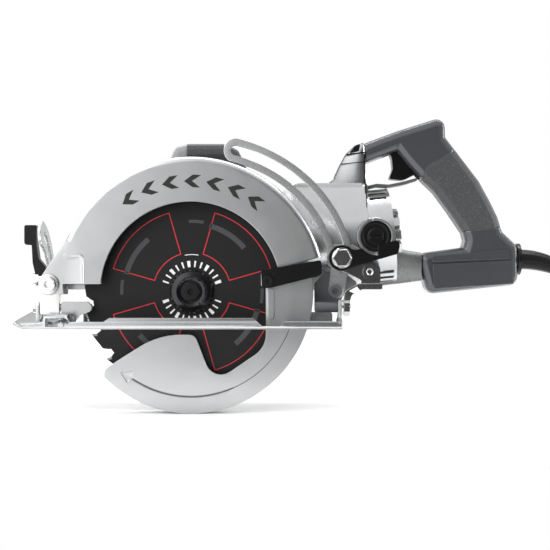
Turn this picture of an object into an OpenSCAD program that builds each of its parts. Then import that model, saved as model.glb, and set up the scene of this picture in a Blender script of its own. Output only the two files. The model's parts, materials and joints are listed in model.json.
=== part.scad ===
// Worm drive circular saw, blade on the left, in-line motor behind the blade.
// Frame: X runs from the nose of the foot to the rear handle, Z is up and Y runs from
// the blade to the motor. The origin lies on the sole of the foot, in the middle plane
// of the blade, straight under the depth pivot. All lengths are millimetres.

/* [Blade and arbor] */
// Diameter of the blade over its teeth
blade_d = 209.6; // [196:0.1:211]
// Thickness of the blade plate
blade_t = 1.8; // [1.4:0.1:2.2]
// Width of the tooth tips
kerf_t = 2.6; // [2.4:0.1:3]
// Number of teeth
tooth_count = 24; // [18:1:40]
// Depth of the gullet in front of each tooth
gullet_h = 9; // [6:0.5:10]
// Length of the carbide tip along the tooth face
tip_h = 5; // [3:0.5:5.5]
// Diameter of the arbor shaft
arbor_d = 16; // [14:0.5:17]
// Diameter of the two blade washers
washer_d = 42; // [36:1:46]
// Distance from the depth pivot back to the arbor
arbor_x = 134; // [132:1:138]
// Height of the arbor over the sole with the foot fully up
arbor_z = 34.8; // [34:0.1:37]

/* [Guards] */
// Outer radius of the upper guard
guard_r = 128.5; // [127:0.5:130]
// Radius of the window in the face of the upper guard
guard_window_r = 85.5; // [84:0.5:90]
// Wall of the upper guard
guard_wall = 3; // [2.5:0.1:3.4]
// Rounding of the outer edge of the upper guard
guard_edge_r = 6; // [4:0.5:8]
// Outer radius of the lower guard
lower_r = 116; // [114:0.5:118]
// Wall of the lower guard
lower_wall = 2.2; // [1.8:0.1:2.6]
// Distance of the upper guard's face from the blade plane
guard_face_y = 18; // [17.5:0.1:19]
// Distance of the lower guard's face from the blade plane
lower_face_y = 12.5; // [11.5:0.1:13]

/* [Motor] */
// Distance from the blade plane to the motor's axis
motor_y = 62; // [61:0.5:64]
// Rise of the motor's axis towards the rear, in degrees
motor_tilt = 5.5; // [5:0.1:6]
// Radius of the motor housing
motor_r = 48; // [46:0.5:49]
// Wall of the motor housing
motor_wall = 3; // [2.5:0.1:3.2]
// Distance along the axis from the arbor to the seam of the end bell
seam_s = 177.5; // [174:0.5:180]
// Length of the end bell behind the seam
bell_len = 24; // [22:0.5:26]
// Radius of the armature core
armature_r = 24; // [22:0.5:25]
// Length of the armature core
armature_len = 52; // [46:1:54]

/* [Worm drive] */
// Starts on the worm
worm_starts = 4; // [4:1:4]
// Teeth on the worm wheel
wheel_teeth = 20; // [20:1:20]
// Lead angle of the worm, in degrees
lead_angle = 20; // [19:0.5:21]
// Normal module of the worm and the wheel
gear_module = 2.2; // [2.15:0.01:2.22]
// Width of the worm wheel
wheel_w = 14; // [12:1:16]
// Length of the worm
worm_len = 40; // [36:1:42]

/* [Foot] */
// Length of the foot
foot_len = 309; // [306:1:315]
// Distance from the depth pivot forward to the tip of the nose
foot_front = 34; // [33:0.5:38]
// Distance from the blade plane to the near edge of the foot
foot_near = 38; // [36:0.5:42]
// Distance from the blade plane to the far edge of the foot
foot_far = 105; // [103:1:112]
// Thickness of the foot's plate
foot_t = 2.5; // [2:0.1:2.8]
// Height of the far edge of the foot
far_rail_h = 12; // [8:0.5:14]
// Distance of the bevel axis from the blade plane, on the near side
bevel_y = 8; // [7.5:0.1:8.5]
// Height of the bevel axis over the sole
bevel_z = 20; // [19.5:0.1:20.5]
// Height of the depth pivot over the sole
pivot_z = 42; // [41:0.5:43]
// Radius of the threaded hole for a rip fence's clamp screw
fence_hole_r = 2.5; // [2:0.1:3]
// Width of the channel that takes a rip fence's bar
fence_slot_w = 17; // [14:0.5:17.5]

/* [Handles] */
// Width of the rear handle across its two halves
handle_w = 34; // [31:0.5:36]
// Rounding of the rear handle's edges
handle_edge = 7; // [5:0.5:8]
// Thickness of the rubber on the rear grip
rubber_t = 1.6; // [1.2:0.1:2]
// Width of the trigger
trigger_w = 17; // [14:0.5:18]
// Width of the front handle
front_handle_w = 34; // [30:1:36]
// Height of the front handle's top over the sole
front_handle_top = 180.6; // [178:0.5:184]

/* [Cord] */
// Diameter of the cord
cord_d = 9; // [8.6:0.1:9]
// Radius of the middle of the coil's outermost turn
coil_r = 67; // [66.5:0.1:68]
// Distance between neighbouring turns of the coil
coil_pitch = 9.5; // [9.5:0.05:9.6]

/* [Hidden] */
$fn = 64;

// Small gap between parts that turn or slide on each other
gap = 0.3;
// Gap between a round shaft and the bore that it runs in
run = 0.05;
blade_r = blade_d / 2;
guard_back_y = 14;
lower_back_y = 10.5;
nose_r = 24;

// Worm pair: the two pitch radii follow from the module, the counts and the lead angle
worm_r = worm_starts * gear_module / (2 * sin(lead_angle));
wheel_r = wheel_teeth * gear_module / (2 * cos(lead_angle));
gear_distance = worm_r + wheel_r;
worm_lead = 2 * PI * worm_r * tan(lead_angle);

// Points on the motor's axis: s is the distance along it from the arbor
function on_axis(s, up = 0) = [
    arbor_x + s * cos(motor_tilt) - (gear_distance + up) * sin(motor_tilt),
    arbor_z + s * sin(motor_tilt) + (gear_distance + up) * cos(motor_tilt)
];
seam = on_axis(seam_s);

// The rear handle and the neck keep their place behind the seam
handle_shift = seam - [307.2, 87.8];

// Depth linkage: the lock bolt slides in the bracket's slot as the bracket turns
pivot = [0, pivot_z];
lock = [278, 67];
bracket_pivot = [272, 35];
bracket_ratio = 0.75;
depth_travel = 28;
slot_r = 4.8;
bracket_band = 6.8;
bracket_y0 = 6;
bracket_y1 = 10;
lever_y = -3;

// Bevel quadrant
quadrant_r0 = 60;
quadrant_r1 = 84;
quadrant_slot_r = 72;
lock_angle = 22;
bevel_travel = 50;
bevel_axis = [-bevel_y, bevel_z];

// Helpers

function unit(v) = v / norm(v);
function turn(v, a) = [v.x * cos(a) - v.y * sin(a), v.x * sin(a) + v.y * cos(a)];
function polar(r, a) = [r * cos(a), r * sin(a)];

// The arc that rounds the corner b between a and c to the radius r
function fillet(a, b, c, r, n) =
    let (
        u = unit(a - b),
        w = unit(c - b),
        half = acos(u * w) / 2,
        reach = r / tan(half),
        middle = b + unit(u + w) * (r / sin(half)),
        p = b + u * reach - middle,
        q = b + w * reach - middle,
        a1 = atan2(p.y, p.x),
        sweep = (atan2(q.y, q.x) - a1 + 540) % 360 - 180
    )
    [for (i = [0:n]) middle + polar(r, a1 + sweep * i / n)];

// An outline from corners [x, y, radius]
function rounded(corners, n = 5) =
    let (k = len(corners))
    [for (i = [0:k - 1])
        let (
            a = corners[(i + k - 1) % k],
            b = corners[i],
            c = corners[(i + 1) % k]
        )
        each b[2] > 0
            ? fillet([a.x, a.y], [b.x, b.y], [c.x, c.y], b[2], n)
            : [[b.x, b.y]]];

function moved(points, by) = [for (p = points) [for (i = [0:len(p) - 1]) i < 2 ? p[i] + by[i] : p[i]]];

// Extrudes an outline of X and Z from y0 to y1
module slab(y0, y1) translate([0, y1, 0]) rotate([90, 0, 0]) linear_extrude(y1 - y0) children();

// A round bar along Y, along X or along the motor's axis
module bar_y(at, y0, y1, r) translate([at.x, y0, at.y]) rotate([-90, 0, 0]) cylinder(h = y1 - y0, r = r);
module bar_x(at, x0, x1, r) translate([x0, at.x, at.y]) rotate([0, 90, 0]) cylinder(h = x1 - x0, r = r);
module bar_s(s0, s1, r) translate([0, 0, s0]) cylinder(h = s1 - s0, r = r);
module ring_s(s0, s1, r1, r0) difference() {
    bar_s(s0, s1, r1);
    bar_s(s0 - 1, s1 + 1, r0);
}
module hex_y(at, y0, y1, r) translate([at.x, y0, at.y]) rotate([-90, 0, 0])
    cylinder(h = y1 - y0, r = r, $fn = 6);

// Puts things in the motor's frame: local Z runs along the axis to the rear, local X is down
module in_motor() translate([arbor_x, motor_y, arbor_z])
    rotate([0, -motor_tilt, 0]) translate([0, 0, gear_distance]) rotate([0, 90, 0]) children();

module at_arbor() translate([arbor_x, 0, arbor_z]) children();

// Turns a profile of radius and Y about the arbor, from one angle to another over the rear
module about_arbor(from, to) at_arbor() rotate([0, -from, 0]) rotate([90, 0, 0])
    rotate_extrude(angle = to - from, $fn = 128) children();

// A solid skinned over rings of equally many points
module skin(rings) {
    n = len(rings[0]);
    m = len(rings);
    polyhedron(
        points = [for (r = rings) each r],
        faces = concat(
            [[for (i = [n - 1:-1:0]) i]],
            [for (j = [0:m - 2]) for (i = [0:n - 1]) each [
                [j * n + i, j * n + (i + 1) % n, (j + 1) * n + (i + 1) % n],
                [j * n + i, (j + 1) * n + (i + 1) % n, (j + 1) * n + i]
            ]],
            [[for (i = [0:n - 1]) (m - 1) * n + i]]
        )
    );
}

// A round tube swept along a path, with one radius for each point and its two end directions
module sweep(path, radii, sides, from, to) {
    k = len(path);
    skin([for (i = [0:k - 1])
        let (
            t = i == 0 ? from : i == k - 1 ? to : unit(path[i + 1] - path[i - 1]),
            up = abs(t.z) < 0.9 ? [0, 0, 1] : [1, 0, 0],
            side = unit(cross(t, up)),
            rise = cross(side, t)
        )
        [for (j = [0:sides - 1])
            path[i] + radii[i] * (cos(360 * j / sides) * side + sin(360 * j / sides) * rise)]]);
}

// Upper guard: a fixed casting with its nose reaching forward to the depth pivot
nose_hole_r = 4.2;
nose_boss_r = 10.5;
hub_r = 9.5;
guard_bottom_z = 42;
guard_rear_angle = 15;

module upper_guard() color("silver") difference() {
    union() {
        about_arbor(guard_rear_angle, 180) guard_profile();
        slab(-guard_face_y + nose_step, -guard_face_y + guard_wall - nose_step) nose_outline();
        slab(guard_back_y - guard_wall + nose_step, guard_back_y - nose_step) nose_outline();
        guard_ridge();
    }
    slab(-guard_face_y - 2, 0) guard_front_cut(guard_bottom_z);
    slab(-1, guard_back_y + 2) guard_front_cut(guard_bottom_z - 5);
    bar_y(pivot, -guard_face_y + guard_wall - gap, guard_back_y - guard_wall + gap, hub_r + 2.5);
    bar_y(pivot, -guard_face_y - 4, guard_back_y + 4, nose_hole_r);
    bar_y([arbor_x, arbor_z], 0, guard_back_y + 4, nose_r);
    about_arbor(16, 84) translate([bracket_relief_r, -guard_back_y - 1])
        square([guard_r, guard_back_y + 1 - bracket_y0 + 1]);
    for (a = [40, 90, 140])
        bar_y([arbor_x, arbor_z] + polar(guard_screw_r, a), 0, guard_back_y + 4, 2.5);
}
guard_screw_r = 31;
// The walls of the nose are a little thinner than those of the guard that they run into
nose_step = 0.05;
// Recess at the back of the guard that lets the depth bracket swing past
bracket_relief_r = 124.5;

module guard_profile() {
    half = (guard_face_y + guard_back_y) / 2;
    difference() {
        union() {
            translate([nose_r, -guard_back_y]) square([guard_r - nose_r, guard_wall]);
            translate([guard_r - guard_wall, -guard_back_y]) square([guard_wall, 2 * half - guard_edge_r]);
            translate([guard_window_r, guard_face_y - guard_wall])
                square([guard_r - guard_edge_r - guard_window_r, guard_wall]);
            translate([guard_r - guard_edge_r, guard_face_y - guard_edge_r]) intersection() {
                difference() {
                    circle(guard_edge_r, $fn = 48);
                    circle(guard_edge_r - guard_wall, $fn = 48);
                }
                square(guard_edge_r + 1);
            }
        }
    }
}

// The nose: from the rim of the guard to a boss round the depth pivot
module nose_outline() {
    difference() {
        union() {
            translate([pivot.x, pivot.y]) circle(nose_boss_r);
            polygon(rounded([
                [pivot.x - 9.2, pivot.y + 5, 0], [pivot.x + 14, pivot.y + 40, 0],
                [arbor_x - guard_window_r + 4, pivot.y + 40, 0],
                [arbor_x - guard_window_r - 4, pivot.y - 10, 12],
                [pivot.x + 8, pivot.y - 10, 0], [pivot.x + 6, pivot.y - 8.6, 0]
            ]));
        }
        translate([arbor_x, arbor_z]) circle(guard_window_r + 1);
    }
}

// What is cut away below the nose, so that its lower edge runs back level
module guard_front_cut(top) polygon([
    [pivot.x + nose_boss_r + 2.2, top - 60], [arbor_x - nose_r - 2, top - 60],
    [arbor_x - nose_r - 2, arbor_z], [arbor_x - guard_window_r + 3, arbor_z],
    [arbor_x - guard_window_r + 3, top], [pivot.x + nose_boss_r + 2.2, top]
]);

// Raised L-shaped ridge on the guard's face over the nose
ridge_w = 3;
ridge_h = 1.2;
ridge_corner = [31, 69.5];
module guard_ridge() {
    y0 = -guard_face_y - ridge_h;
    slab(y0, -guard_face_y + 0.5) {
        translate([pivot.x + 14, ridge_corner.y - ridge_w / 2])
            square([ridge_corner.x - pivot.x - 18, ridge_w]);
        translate([ridge_corner.x - ridge_w / 2, guard_bottom_z])
            square([ridge_w, ridge_corner.y - guard_bottom_z - 4]);
        translate([ridge_corner.x - 4, ridge_corner.y - 4]) intersection() {
            difference() {
                circle(4 + ridge_w / 2);
                circle(4 - ridge_w / 2);
            }
            square(10);
        }
    }
}

// Gear housing: worm case, wheel case and the nose that carries the lower guard
case_wall = 3;
worm_case_r = worm_r + gear_module + 1 + case_wall;
wheel_case_r = wheel_r + gear_module + 1 + case_wall;
case_back_y = motor_y + wheel_w / 2 + 15;
flange_s0 = 56;
flange_s1 = 62;
front_bearing_s = -36;
mid_bearing_s = 34;
bearing_w = 9;
arbor_bearing_y = [guard_back_y + 4, motor_y + wheel_w / 2 + 1];
arbor_bearing_r = 15;
worm_bearing_r = 11;
shaft_r = 5.5;
pad_top = 100;

module gear_housing() color("gainsboro") difference() {
    union() {
        bar_y([arbor_x, arbor_z], lower_back_y - lower_wall - 2, guard_back_y + 1, nose_r);
        bar_y([arbor_x, arbor_z], guard_back_y, motor_y - wheel_w / 2 - 3, 27);
        bar_y([arbor_x, arbor_z], motor_y - wheel_w / 2 - 6, case_back_y, wheel_case_r);
        for (a = [40, 90, 140])
            bar_y([arbor_x, arbor_z] + polar(guard_screw_r, a), guard_back_y, motor_y - 10, 6);
        in_motor() bar_s(front_bearing_s - case_wall, flange_s1, worm_case_r);
        in_motor() bar_s(mid_bearing_s + bearing_w, flange_s1, motor_r);
        in_motor() for (a = [0:45:315]) rotate(a)
            translate([worm_case_r - 1, -1.5, mid_bearing_s + 2]) cube([12, 3, 8]);
        handle_pads();
        translate([oil_plug_at.x, oil_plug_at.y, oil_plug_z - 12]) cylinder(h = 12, r = 10);
        in_motor() for (s = [-22:9:14])
            rotate(180) translate([8, -24, s]) cube([worm_case_r - 8, 48, 3]);
    }
    bar_y([arbor_x, arbor_z], 0, guard_back_y + 3, arbor_d / 2 + 2);
    bar_y([arbor_x, arbor_z], guard_back_y + 3, case_back_y + 1, arbor_bearing_r);
    bar_y([arbor_x, arbor_z], motor_y - wheel_w / 2 - 2, motor_y + wheel_w / 2 + 1, wheel_case_r - case_wall);
    in_motor() bar_s(front_bearing_s, mid_bearing_s + bearing_w, worm_case_r - case_wall);
    in_motor() bar_s(mid_bearing_s, flange_s1 + 1, worm_bearing_r);
    in_motor() bar_s(mid_bearing_s + bearing_w + case_wall, flange_s1 + 1, motor_r - motor_wall);
    for (p = front_handle_screws)
        translate([p, front_y, pad_top - 14]) cylinder(h = 20, r = 2.5);
    for (a = [45:90:315])
        bar_y([arbor_x, arbor_z] + polar(cover_screw_r, a), case_back_y - 8, case_back_y + 1, 1.8);
    translate([oil_plug_at.x, oil_plug_at.y, oil_plug_z - 20]) cylinder(h = 40, r = oil_thread_r);
}
cover_screw_r = wheel_case_r - 3;
oil_plug_at = [arbor_x - 2, motor_y + 6];
oil_thread_r = 5;
oil_plug_z = arbor_z + gear_distance + worm_case_r + 4;

// Pads on top of the worm case for the front handle
front_y = motor_y - 16;
front_handle_screws = [112, 153.6];
module handle_pads() for (p = front_handle_screws)
    translate([p - 9, front_y - 9, arbor_z + gear_distance - 5])
        cube([18, 18, pad_top - arbor_z - gear_distance + 5]);

module arbor_cover() color("silver") difference() {
    union() {
        bar_y([arbor_x, arbor_z], case_back_y, case_back_y + 4, wheel_case_r);
        bar_y([arbor_x, arbor_z], case_back_y + 4, case_back_y + 8, arbor_bearing_r + 3);
    }
    bar_y([arbor_x, arbor_z], case_back_y - 1, case_back_y + 5, arbor_d / 2 + 1);
    for (a = [45:90:315])
        bar_y([arbor_x, arbor_z] + polar(cover_screw_r, a), case_back_y - 1, case_back_y + 9, 2.1);
}

module cover_screws() color("dimgray") for (a = [45:90:315]) {
    at = [arbor_x, arbor_z] + polar(cover_screw_r, a);
    bar_y(at, case_back_y - 7, case_back_y + 4, 1.7);
    difference() {
        bar_y(at, case_back_y + 4, case_back_y + 6.5, 3.8);
        hex_y(at, case_back_y + 5, case_back_y + 7, 1.8);
    }
}

module oil_plug() color("dimgray") translate([oil_plug_at.x, oil_plug_at.y, oil_plug_z]) {
    translate([0, 0, -6]) cylinder(h = 6, r = oil_thread_r);
    difference() {
        cylinder(h = 5, r = 8.5, $fn = 6);
        translate([-5, -1, 3]) cube([10, 2, 3]);
    }
}

// Motor housing: barrel, neck to the handle's upper arm and stub for its lower arm
neck = moved([
    [258, 128, 0], [258, 138, 0], [271, 145, 9], [278, 160, 6], [284, 171, 4], [293.7, 180.1, 2],
    [302.5, 183, 1], [304.3, 166, 1], [303, 160, 1], [308.5, 128, 0]
], handle_shift);
stub = moved([
    [313, 72, 0], [336, 80, 4], [343, 75.5, 6], [360.3, 73, 0], [360.3, 44.8, 0], [336, 41.6, 0],
    [313, 39, 0]
], handle_shift);
// Raised flat top of the housing
saddle = moved([
    [222, 118, 0], [228, 139.7, 5], [240, 141.7, 8], [300, 141.7, 0], [303.6, 118, 0]
], handle_shift);
saddle_y = [motor_y - 27, motor_y + 27];
neck_y = [motor_y - handle_w / 2 + 1, motor_y + handle_w / 2 - 1];
pad_y0 = bracket_y1 + 0.5;
stop_screw = [305, 53.6] + handle_shift;

module motor_housing() color("whitesmoke") difference() {
    union() {
        in_motor() bar_s(flange_s1 + 0.2, seam_s, motor_r);
        slab(neck_y[0], neck_y[1]) polygon(rounded(neck));
        slab(saddle_y[0], saddle_y[1]) polygon(rounded(saddle));
        lock_pad();
    }
    in_motor() bar_s(flange_s1 - 1, seam_s + 1, motor_r - motor_wall);
    in_motor() bar_s(seam_s, seam_s + 60, motor_r + 0.2);
    bar_y(lock, 0, lock_bolt_end, lock_bolt_r);
    bar_y(stop_screw, 0, lock_bolt_end, stop_screw_r);
    in_motor() for (side = [-1, 1]) rotate(90 * side)
        translate([0, 0, brush_s]) rotate([0, 90, 0]) bar_s(motor_r - 10, motor_r + 10, brush_boss_r + gap);
}

// Pad on the near side that carries the depth lock bolt and the stop plate
lock_bolt_r = 4;
lock_bolt_end = 18.6;
stop_screw_r = 2.5;
module lock_pad() slab(pad_y0, motor_y - 8) polygon(rounded([
    [lock.x - 13, lock.y - 8, 3], [stop_screw.x - 9, lock.y - 8, 1],
    [stop_screw.x - 9, stop_screw.y - 9.6, 3], [stop_screw.x + 10, stop_screw.y - 9.6, 6],
    [stop_screw.x + 10, stop_screw.y + 10, 6], [lock.x + 12, lock.y + 13, 8], [lock.x - 13, lock.y + 13, 8]
]));

// End bell: vented rear of the motor with the brush holder bosses
brush_s = 182;
brush_boss_r = 18;
brush_cap_r = 15;
brush_face = motor_y - 12.5;
rear_boss_r = 27;
rear_bearing_r = 11;
vent_w = 4.2;
vent_angles = [-142, -153, -164, 142, 153, 164, 20, 31, 42, -20, -31, -42];
brush_rim_turn = 85;
brush_bore_r = 11;

module motor_end_bell() color("silver") difference() {
    union() {
        in_motor() bar_s(seam_s, seam_s + bell_len, motor_r);
        in_motor() bar_s(seam_s + bell_len - 1, seam_s + bell_len + 8, rear_boss_r);
        on_brush_axis() bar_s(motor_r - 16, brush_face, brush_boss_r);
        on_brush_axis() rotate(brush_rim_turn) rotate_extrude(angle = 190)
            translate([brush_cap_r + 0.3, brush_face - 1]) square([brush_boss_r - brush_cap_r - 0.5, 3.5]);
        slab(neck_y[0] + 2, neck_y[1] - 2) polygon(rounded(stub));
    }
    in_motor() bar_s(seam_s - 1, seam_s + bell_len - 3, motor_r - motor_wall);
    in_motor() bar_s(seam_s, seam_s + bell_len + 6, rear_bearing_r);
    in_motor() for (a = [0:30:330]) rotate(a + 15)
        translate([rear_boss_r - 7, -vent_w / 2, seam_s + bell_len - 4]) cube([12, vent_w, 14]);
    in_motor() for (a = vent_angles) rotate(a)
        translate([motor_r - 8, -vent_w / 2, seam_s + 3.5]) cube([12, vent_w, bell_len - 7]);
    on_brush_axis() {
        bar_s(motor_r - 20, brush_face + 1, brush_bore_r);
        bar_s(brush_face - 5, brush_face + 1, brush_cap_r);
    }
    slab(neck_y[0] - 0.2, neck_y[1] + 0.2) polygon(rounded(neck));
}

// Things on the brush axis, on both sides of the motor: d is the distance from the motor's axis
module on_brush_axis() in_motor() for (side = [-1, 1]) rotate(90 * side)
    translate([0, 0, brush_s]) rotate([0, 90, 0]) children();

module brush_caps() color("black") on_brush_axis() difference() {
    union() {
        bar_s(brush_face - 4.8, brush_face + 1.8, brush_cap_r);
        bar_s(brush_face - 12, brush_face - 4.8, brush_bore_r);
    }
    translate([-1, -6, brush_face + 0.4]) cube([2, 12, 4]);
    difference() {
        bar_s(brush_face + 0.8, brush_face + 3, brush_cap_r - 3);
        bar_s(brush_face, brush_face + 4, 7.5);
    }
}

module brush_holders() color("goldenrod") on_brush_axis() difference() {
    translate([-6, -8, commutator_r + 3]) cube([12, 16, brush_face - 12 - commutator_r - 3.2]);
    translate([-4, -5.5, commutator_r]) cube([8, 11, 60]);
}

module carbon_brushes() color("dimgray") on_brush_axis()
    translate([-3.8, -5.3, commutator_r + gap]) cube([7.6, 10.6, 12]);

// Field: laminated ring with two coils
stator_s0 = 96;
stator_s1 = 158;
stator_r0 = armature_r + 1;
coil_half = stator_r0 + 3;
coil_at = stator_r0 - 15;
coil_t = 22;
coil_end = 7;
module coil_blocks(over) for (side = [-1, 1])
    translate([side > 0 ? coil_at : -coil_at - coil_t, -coil_half, stator_s0 - over])
        cube([coil_t, 2 * coil_half, stator_s1 - stator_s0 + 2 * over]);
module field_stator() color("slategray") in_motor() difference() {
    bar_s(stator_s0, stator_s1, motor_r - motor_wall);
    bar_s(stator_s0 - 1, stator_s1 + 1, stator_r0);
    coil_blocks(1);
}

module field_coils() color("chocolate") in_motor() difference() {
    coil_blocks(coil_end);
    bar_s(stator_s0 - coil_end - 2, stator_s1 + coil_end + 2, stator_r0 + 1);
}

module armature_bearings() color("lightgray") in_motor() {
    ring_s(front_bearing_s, front_bearing_s + bearing_w, worm_case_r - case_wall, shaft_r + run);
    ring_s(mid_bearing_s, mid_bearing_s + bearing_w, worm_bearing_r, shaft_r + run);
    ring_s(seam_s + bell_len - 3, seam_s + bell_len + 5, rear_bearing_r, shaft_r - 1 + run);
}

module arbor_bearings() color("lightgray") for (y = arbor_bearing_y) difference() {
    bar_y([arbor_x, arbor_z], y, y + 10, arbor_bearing_r);
    bar_y([arbor_x, arbor_z], y - 1, y + 11, arbor_d / 2 + run);
}

// Rear handle: two hollow halves that close on the motor's middle plane.
// Each cell is the hull of discs with rounded rims; a disc is its X, Z and radius.
handle_wall = 3.2;
collar_seat = 16;
handle_y = [motor_y - handle_w / 2, motor_y + handle_w / 2];
arm_near = [298, 170.6, 9.5];
arm_mid = [339, 186, 9.5];
arm_top = [376, 198.6, 8.6];
web_top = [352.5, 167, 8.2];
web_low = [367, 153, 9.3];
heel_top = [376.5, 186, 8.4];
grip_in = [381.4, 139.6, 9.5];
grip_top = [393.2, 155, 14];
grip_mid = [396.3, 119.3, 9.5];
grip_out = [406.4, 135.9, 15];
palm_in = [410.9, 97.6, 9.5];
palm_mid = [417.8, 117.1, 14];
palm_out = [425.9, 104.8, 12];
base_in = [414.1, 85.5, 9.5];
base_out = [433.5, 89, 9.5];
box_left_top = [367, 64.5, 9];
box_mid_top = [410, 68.5, 9.5];
box_left_low = [373, 41, 9];
box_right_low = [448.5, 49, 9];
box_right_top = [448.5, 75.5, 9];
handle_cells = [
    [arm_near, arm_mid],
    [arm_mid, arm_top, web_top],
    [arm_top, web_top, heel_top],
    [web_top, web_low, heel_top],
    [web_low, heel_top, grip_in, grip_top],
    [grip_in, grip_top, grip_out, grip_mid],
    [grip_mid, grip_out, palm_mid, palm_in],
    [palm_in, palm_mid, palm_out],
    [palm_in, palm_out, base_in, base_out],
    [base_in, base_out, box_mid_top, box_right_top],
    [box_left_top, box_left_low, box_right_low, box_right_top]
];
// The handle ends flat against the neck and against the stub of the lower arm
joint_gap = 0.6;
handle_limit = moved([
    [302.5 + joint_gap, 184], [304.3 + joint_gap, 160], [360.3 + joint_gap, 90],
    [360.3 + joint_gap, 44.6], [363, 20], [480, 20], [480, 220], [302.5 + joint_gap, 220]
], handle_shift);
grip_zone = moved([
    [352, 136], [359.6, 143.6], [365.6, 158.5], [389.6, 172.5], [412, 190], [470, 150], [466, 101],
    [441, 98.5], [406, 94.5], [396, 92]
], handle_shift);
trigger_slot = moved([[322, 142], [372, 150], [372, 182], [322, 186]], handle_shift);

// Half a disc's width: flat at the middle plane and rounded at its outer rim
module puck(c, half, edge) translate([c.x, 0, c.y]) rotate([90, 0, 0]) {
    cylinder(h = half, r = c[2] - edge, $fn = 20);
    cylinder(h = half - 0.29 * edge, r = c[2] - 0.29 * edge, $fn = 20);
    cylinder(h = half - edge, r = c[2], $fn = 20);
}
module chain(cells, half, edge, less) for (cell = cells) hull() for (c = cell)
    puck([c.x, c.y, c[2] - less], half - less, edge);

module handle_side(less, edge) translate([handle_shift.x, motor_y, handle_shift.y])
    chain(handle_cells, handle_w / 2, edge, less);
module other_side(y) translate([0, y, 0]) mirror([0, 1, 0]) translate([0, -y, 0]) children();

module handle_half() difference() {
    intersection() {
        handle_side(0, handle_edge);
        slab(handle_y[0] - 1, motor_y + 1) polygon(handle_limit);
    }
    translate([handle_shift.x, motor_y + 1, handle_shift.y])
        chain(handle_cells, handle_w / 2 + 1, 1, handle_wall);
    difference() {
        slab(handle_y[0] - 1, motor_y + 1) polygon(grip_zone);
        handle_side(rubber_t, handle_edge - rubber_t);
    }
    slab(motor_y - trigger_w / 2 - gap, motor_y + 1) polygon(trigger_slot);
    bar_x([motor_y, cord_exit.y], cord_exit.x - collar_seat, cord_exit.x + 1, collar_neck_r);
}

// Ribs on the inside of each half that hold the switch and the cord clamp
rib_root = 0.5;
seat_gap = 0.3;
switch_rib = moved([[357, 179], [366, 179], [366, 189], [357, 189]], handle_shift);
module handle_ribs() {
    slab(handle_y[0] + handle_wall - rib_root, motor_y - switch_w / 2 - seat_gap) polygon(switch_rib);
    root_y = handle_y[0] + handle_wall - rib_root;
    translate([clamp_at.x + clamp_size.x / 4, root_y, clamp_at.z + clamp_size.z / 4])
        cube([clamp_size.x / 2, clamp_at.y - root_y - seat_gap, clamp_size.z / 2]);
}
module rear_handle_left() color("dimgray") {
    handle_half();
    handle_ribs();
}
module rear_handle_right() color("dimgray") other_side(motor_y) {
    handle_half();
    handle_ribs();
}

module rear_grip_cover() color([0.22, 0.22, 0.23]) {
    grip_side();
    other_side(motor_y) grip_side();
}
module grip_side() intersection() {
    slab(handle_y[0] - 1, motor_y) polygon(grip_zone);
    difference() {
        handle_side(0, handle_edge);
        handle_side(rubber_t, handle_edge - rubber_t);
    }
}

module trigger_guard_bar() color("gray") slab(motor_y - 9, motor_y + 9) polygon(rounded(moved([
    [307.3, 137.2, 0.3], [316, 139.4, 8], [328, 138.6, 12], [343, 141.4, 20], [356.6, 145.6, 0.5],
    [356.6, 148.4, 0.5], [342, 144.4, 20], [328, 141.6, 12], [316, 142.4, 8], [306.9, 140.2, 0.3]
], handle_shift)));

// Trigger, its pin and the switch behind it
trigger_pivot = [333, 182] + handle_shift;
trigger_pin_r = 2;
switch_w = 22;
trigger_corners = moved([
    [328.2, 175.3, 0], [331.2, 168, 10], [332.2, 157, 10], [328.6, 147.2, 1.5], [343, 146, 14],
    [356.2, 152.6, 1.5], [353, 163, 4], [344, 176, 4], [341, 186, 4], [328.5, 184.5, 3]
], handle_shift);
module trigger() color([0.1, 0.1, 0.1]) difference() {
    slab(motor_y - trigger_w / 2, motor_y + trigger_w / 2) polygon(rounded(trigger_corners));
    bar_y(trigger_pivot, motor_y - 20, motor_y + 20, trigger_pin_r + run);
}
module trigger_pin() color("silver")
    bar_y(trigger_pivot, handle_y[0] + handle_wall, handle_y[1] - handle_wall, trigger_pin_r);
module switch_unit() color([0.15, 0.15, 0.16]) {
    slab(motor_y - switch_w / 2, motor_y + switch_w / 2) polygon(rounded(moved([
        [359, 170, 1], [374, 184, 1], [362, 198, 1], [347, 185, 1]
    ], handle_shift)));
}

// Cord outlet at the rear of the handle
cord_exit = [461.6, 66.5] + handle_shift;
collar_r = 16;
collar_neck_r = 12.5;
boot_len = 50;
boot_bend_r = 90;
boot_d0 = 20;
boot_d1 = 13;

module cord_collar() color([0.2, 0.2, 0.2]) {
    bar_x([motor_y, cord_exit.y], cord_exit.x - 4, cord_exit.x - 0.2, collar_r);
    bar_x([motor_y, cord_exit.y], cord_exit.x - 10, cord_exit.x - 4, collar_neck_r);
}
clamp_size = [14, 20, 16];
clamp_at = [cord_exit.x - 34, motor_y - clamp_size.y / 2, cord_exit.y - clamp_size.z / 2];
module cord_clamp() color("black") difference() {
    translate(clamp_at) cube(clamp_size);
    bar_x([motor_y, cord_exit.y], clamp_at.x - 1, clamp_at.x + clamp_size.x + 1, cord_d / 2);
}

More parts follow.
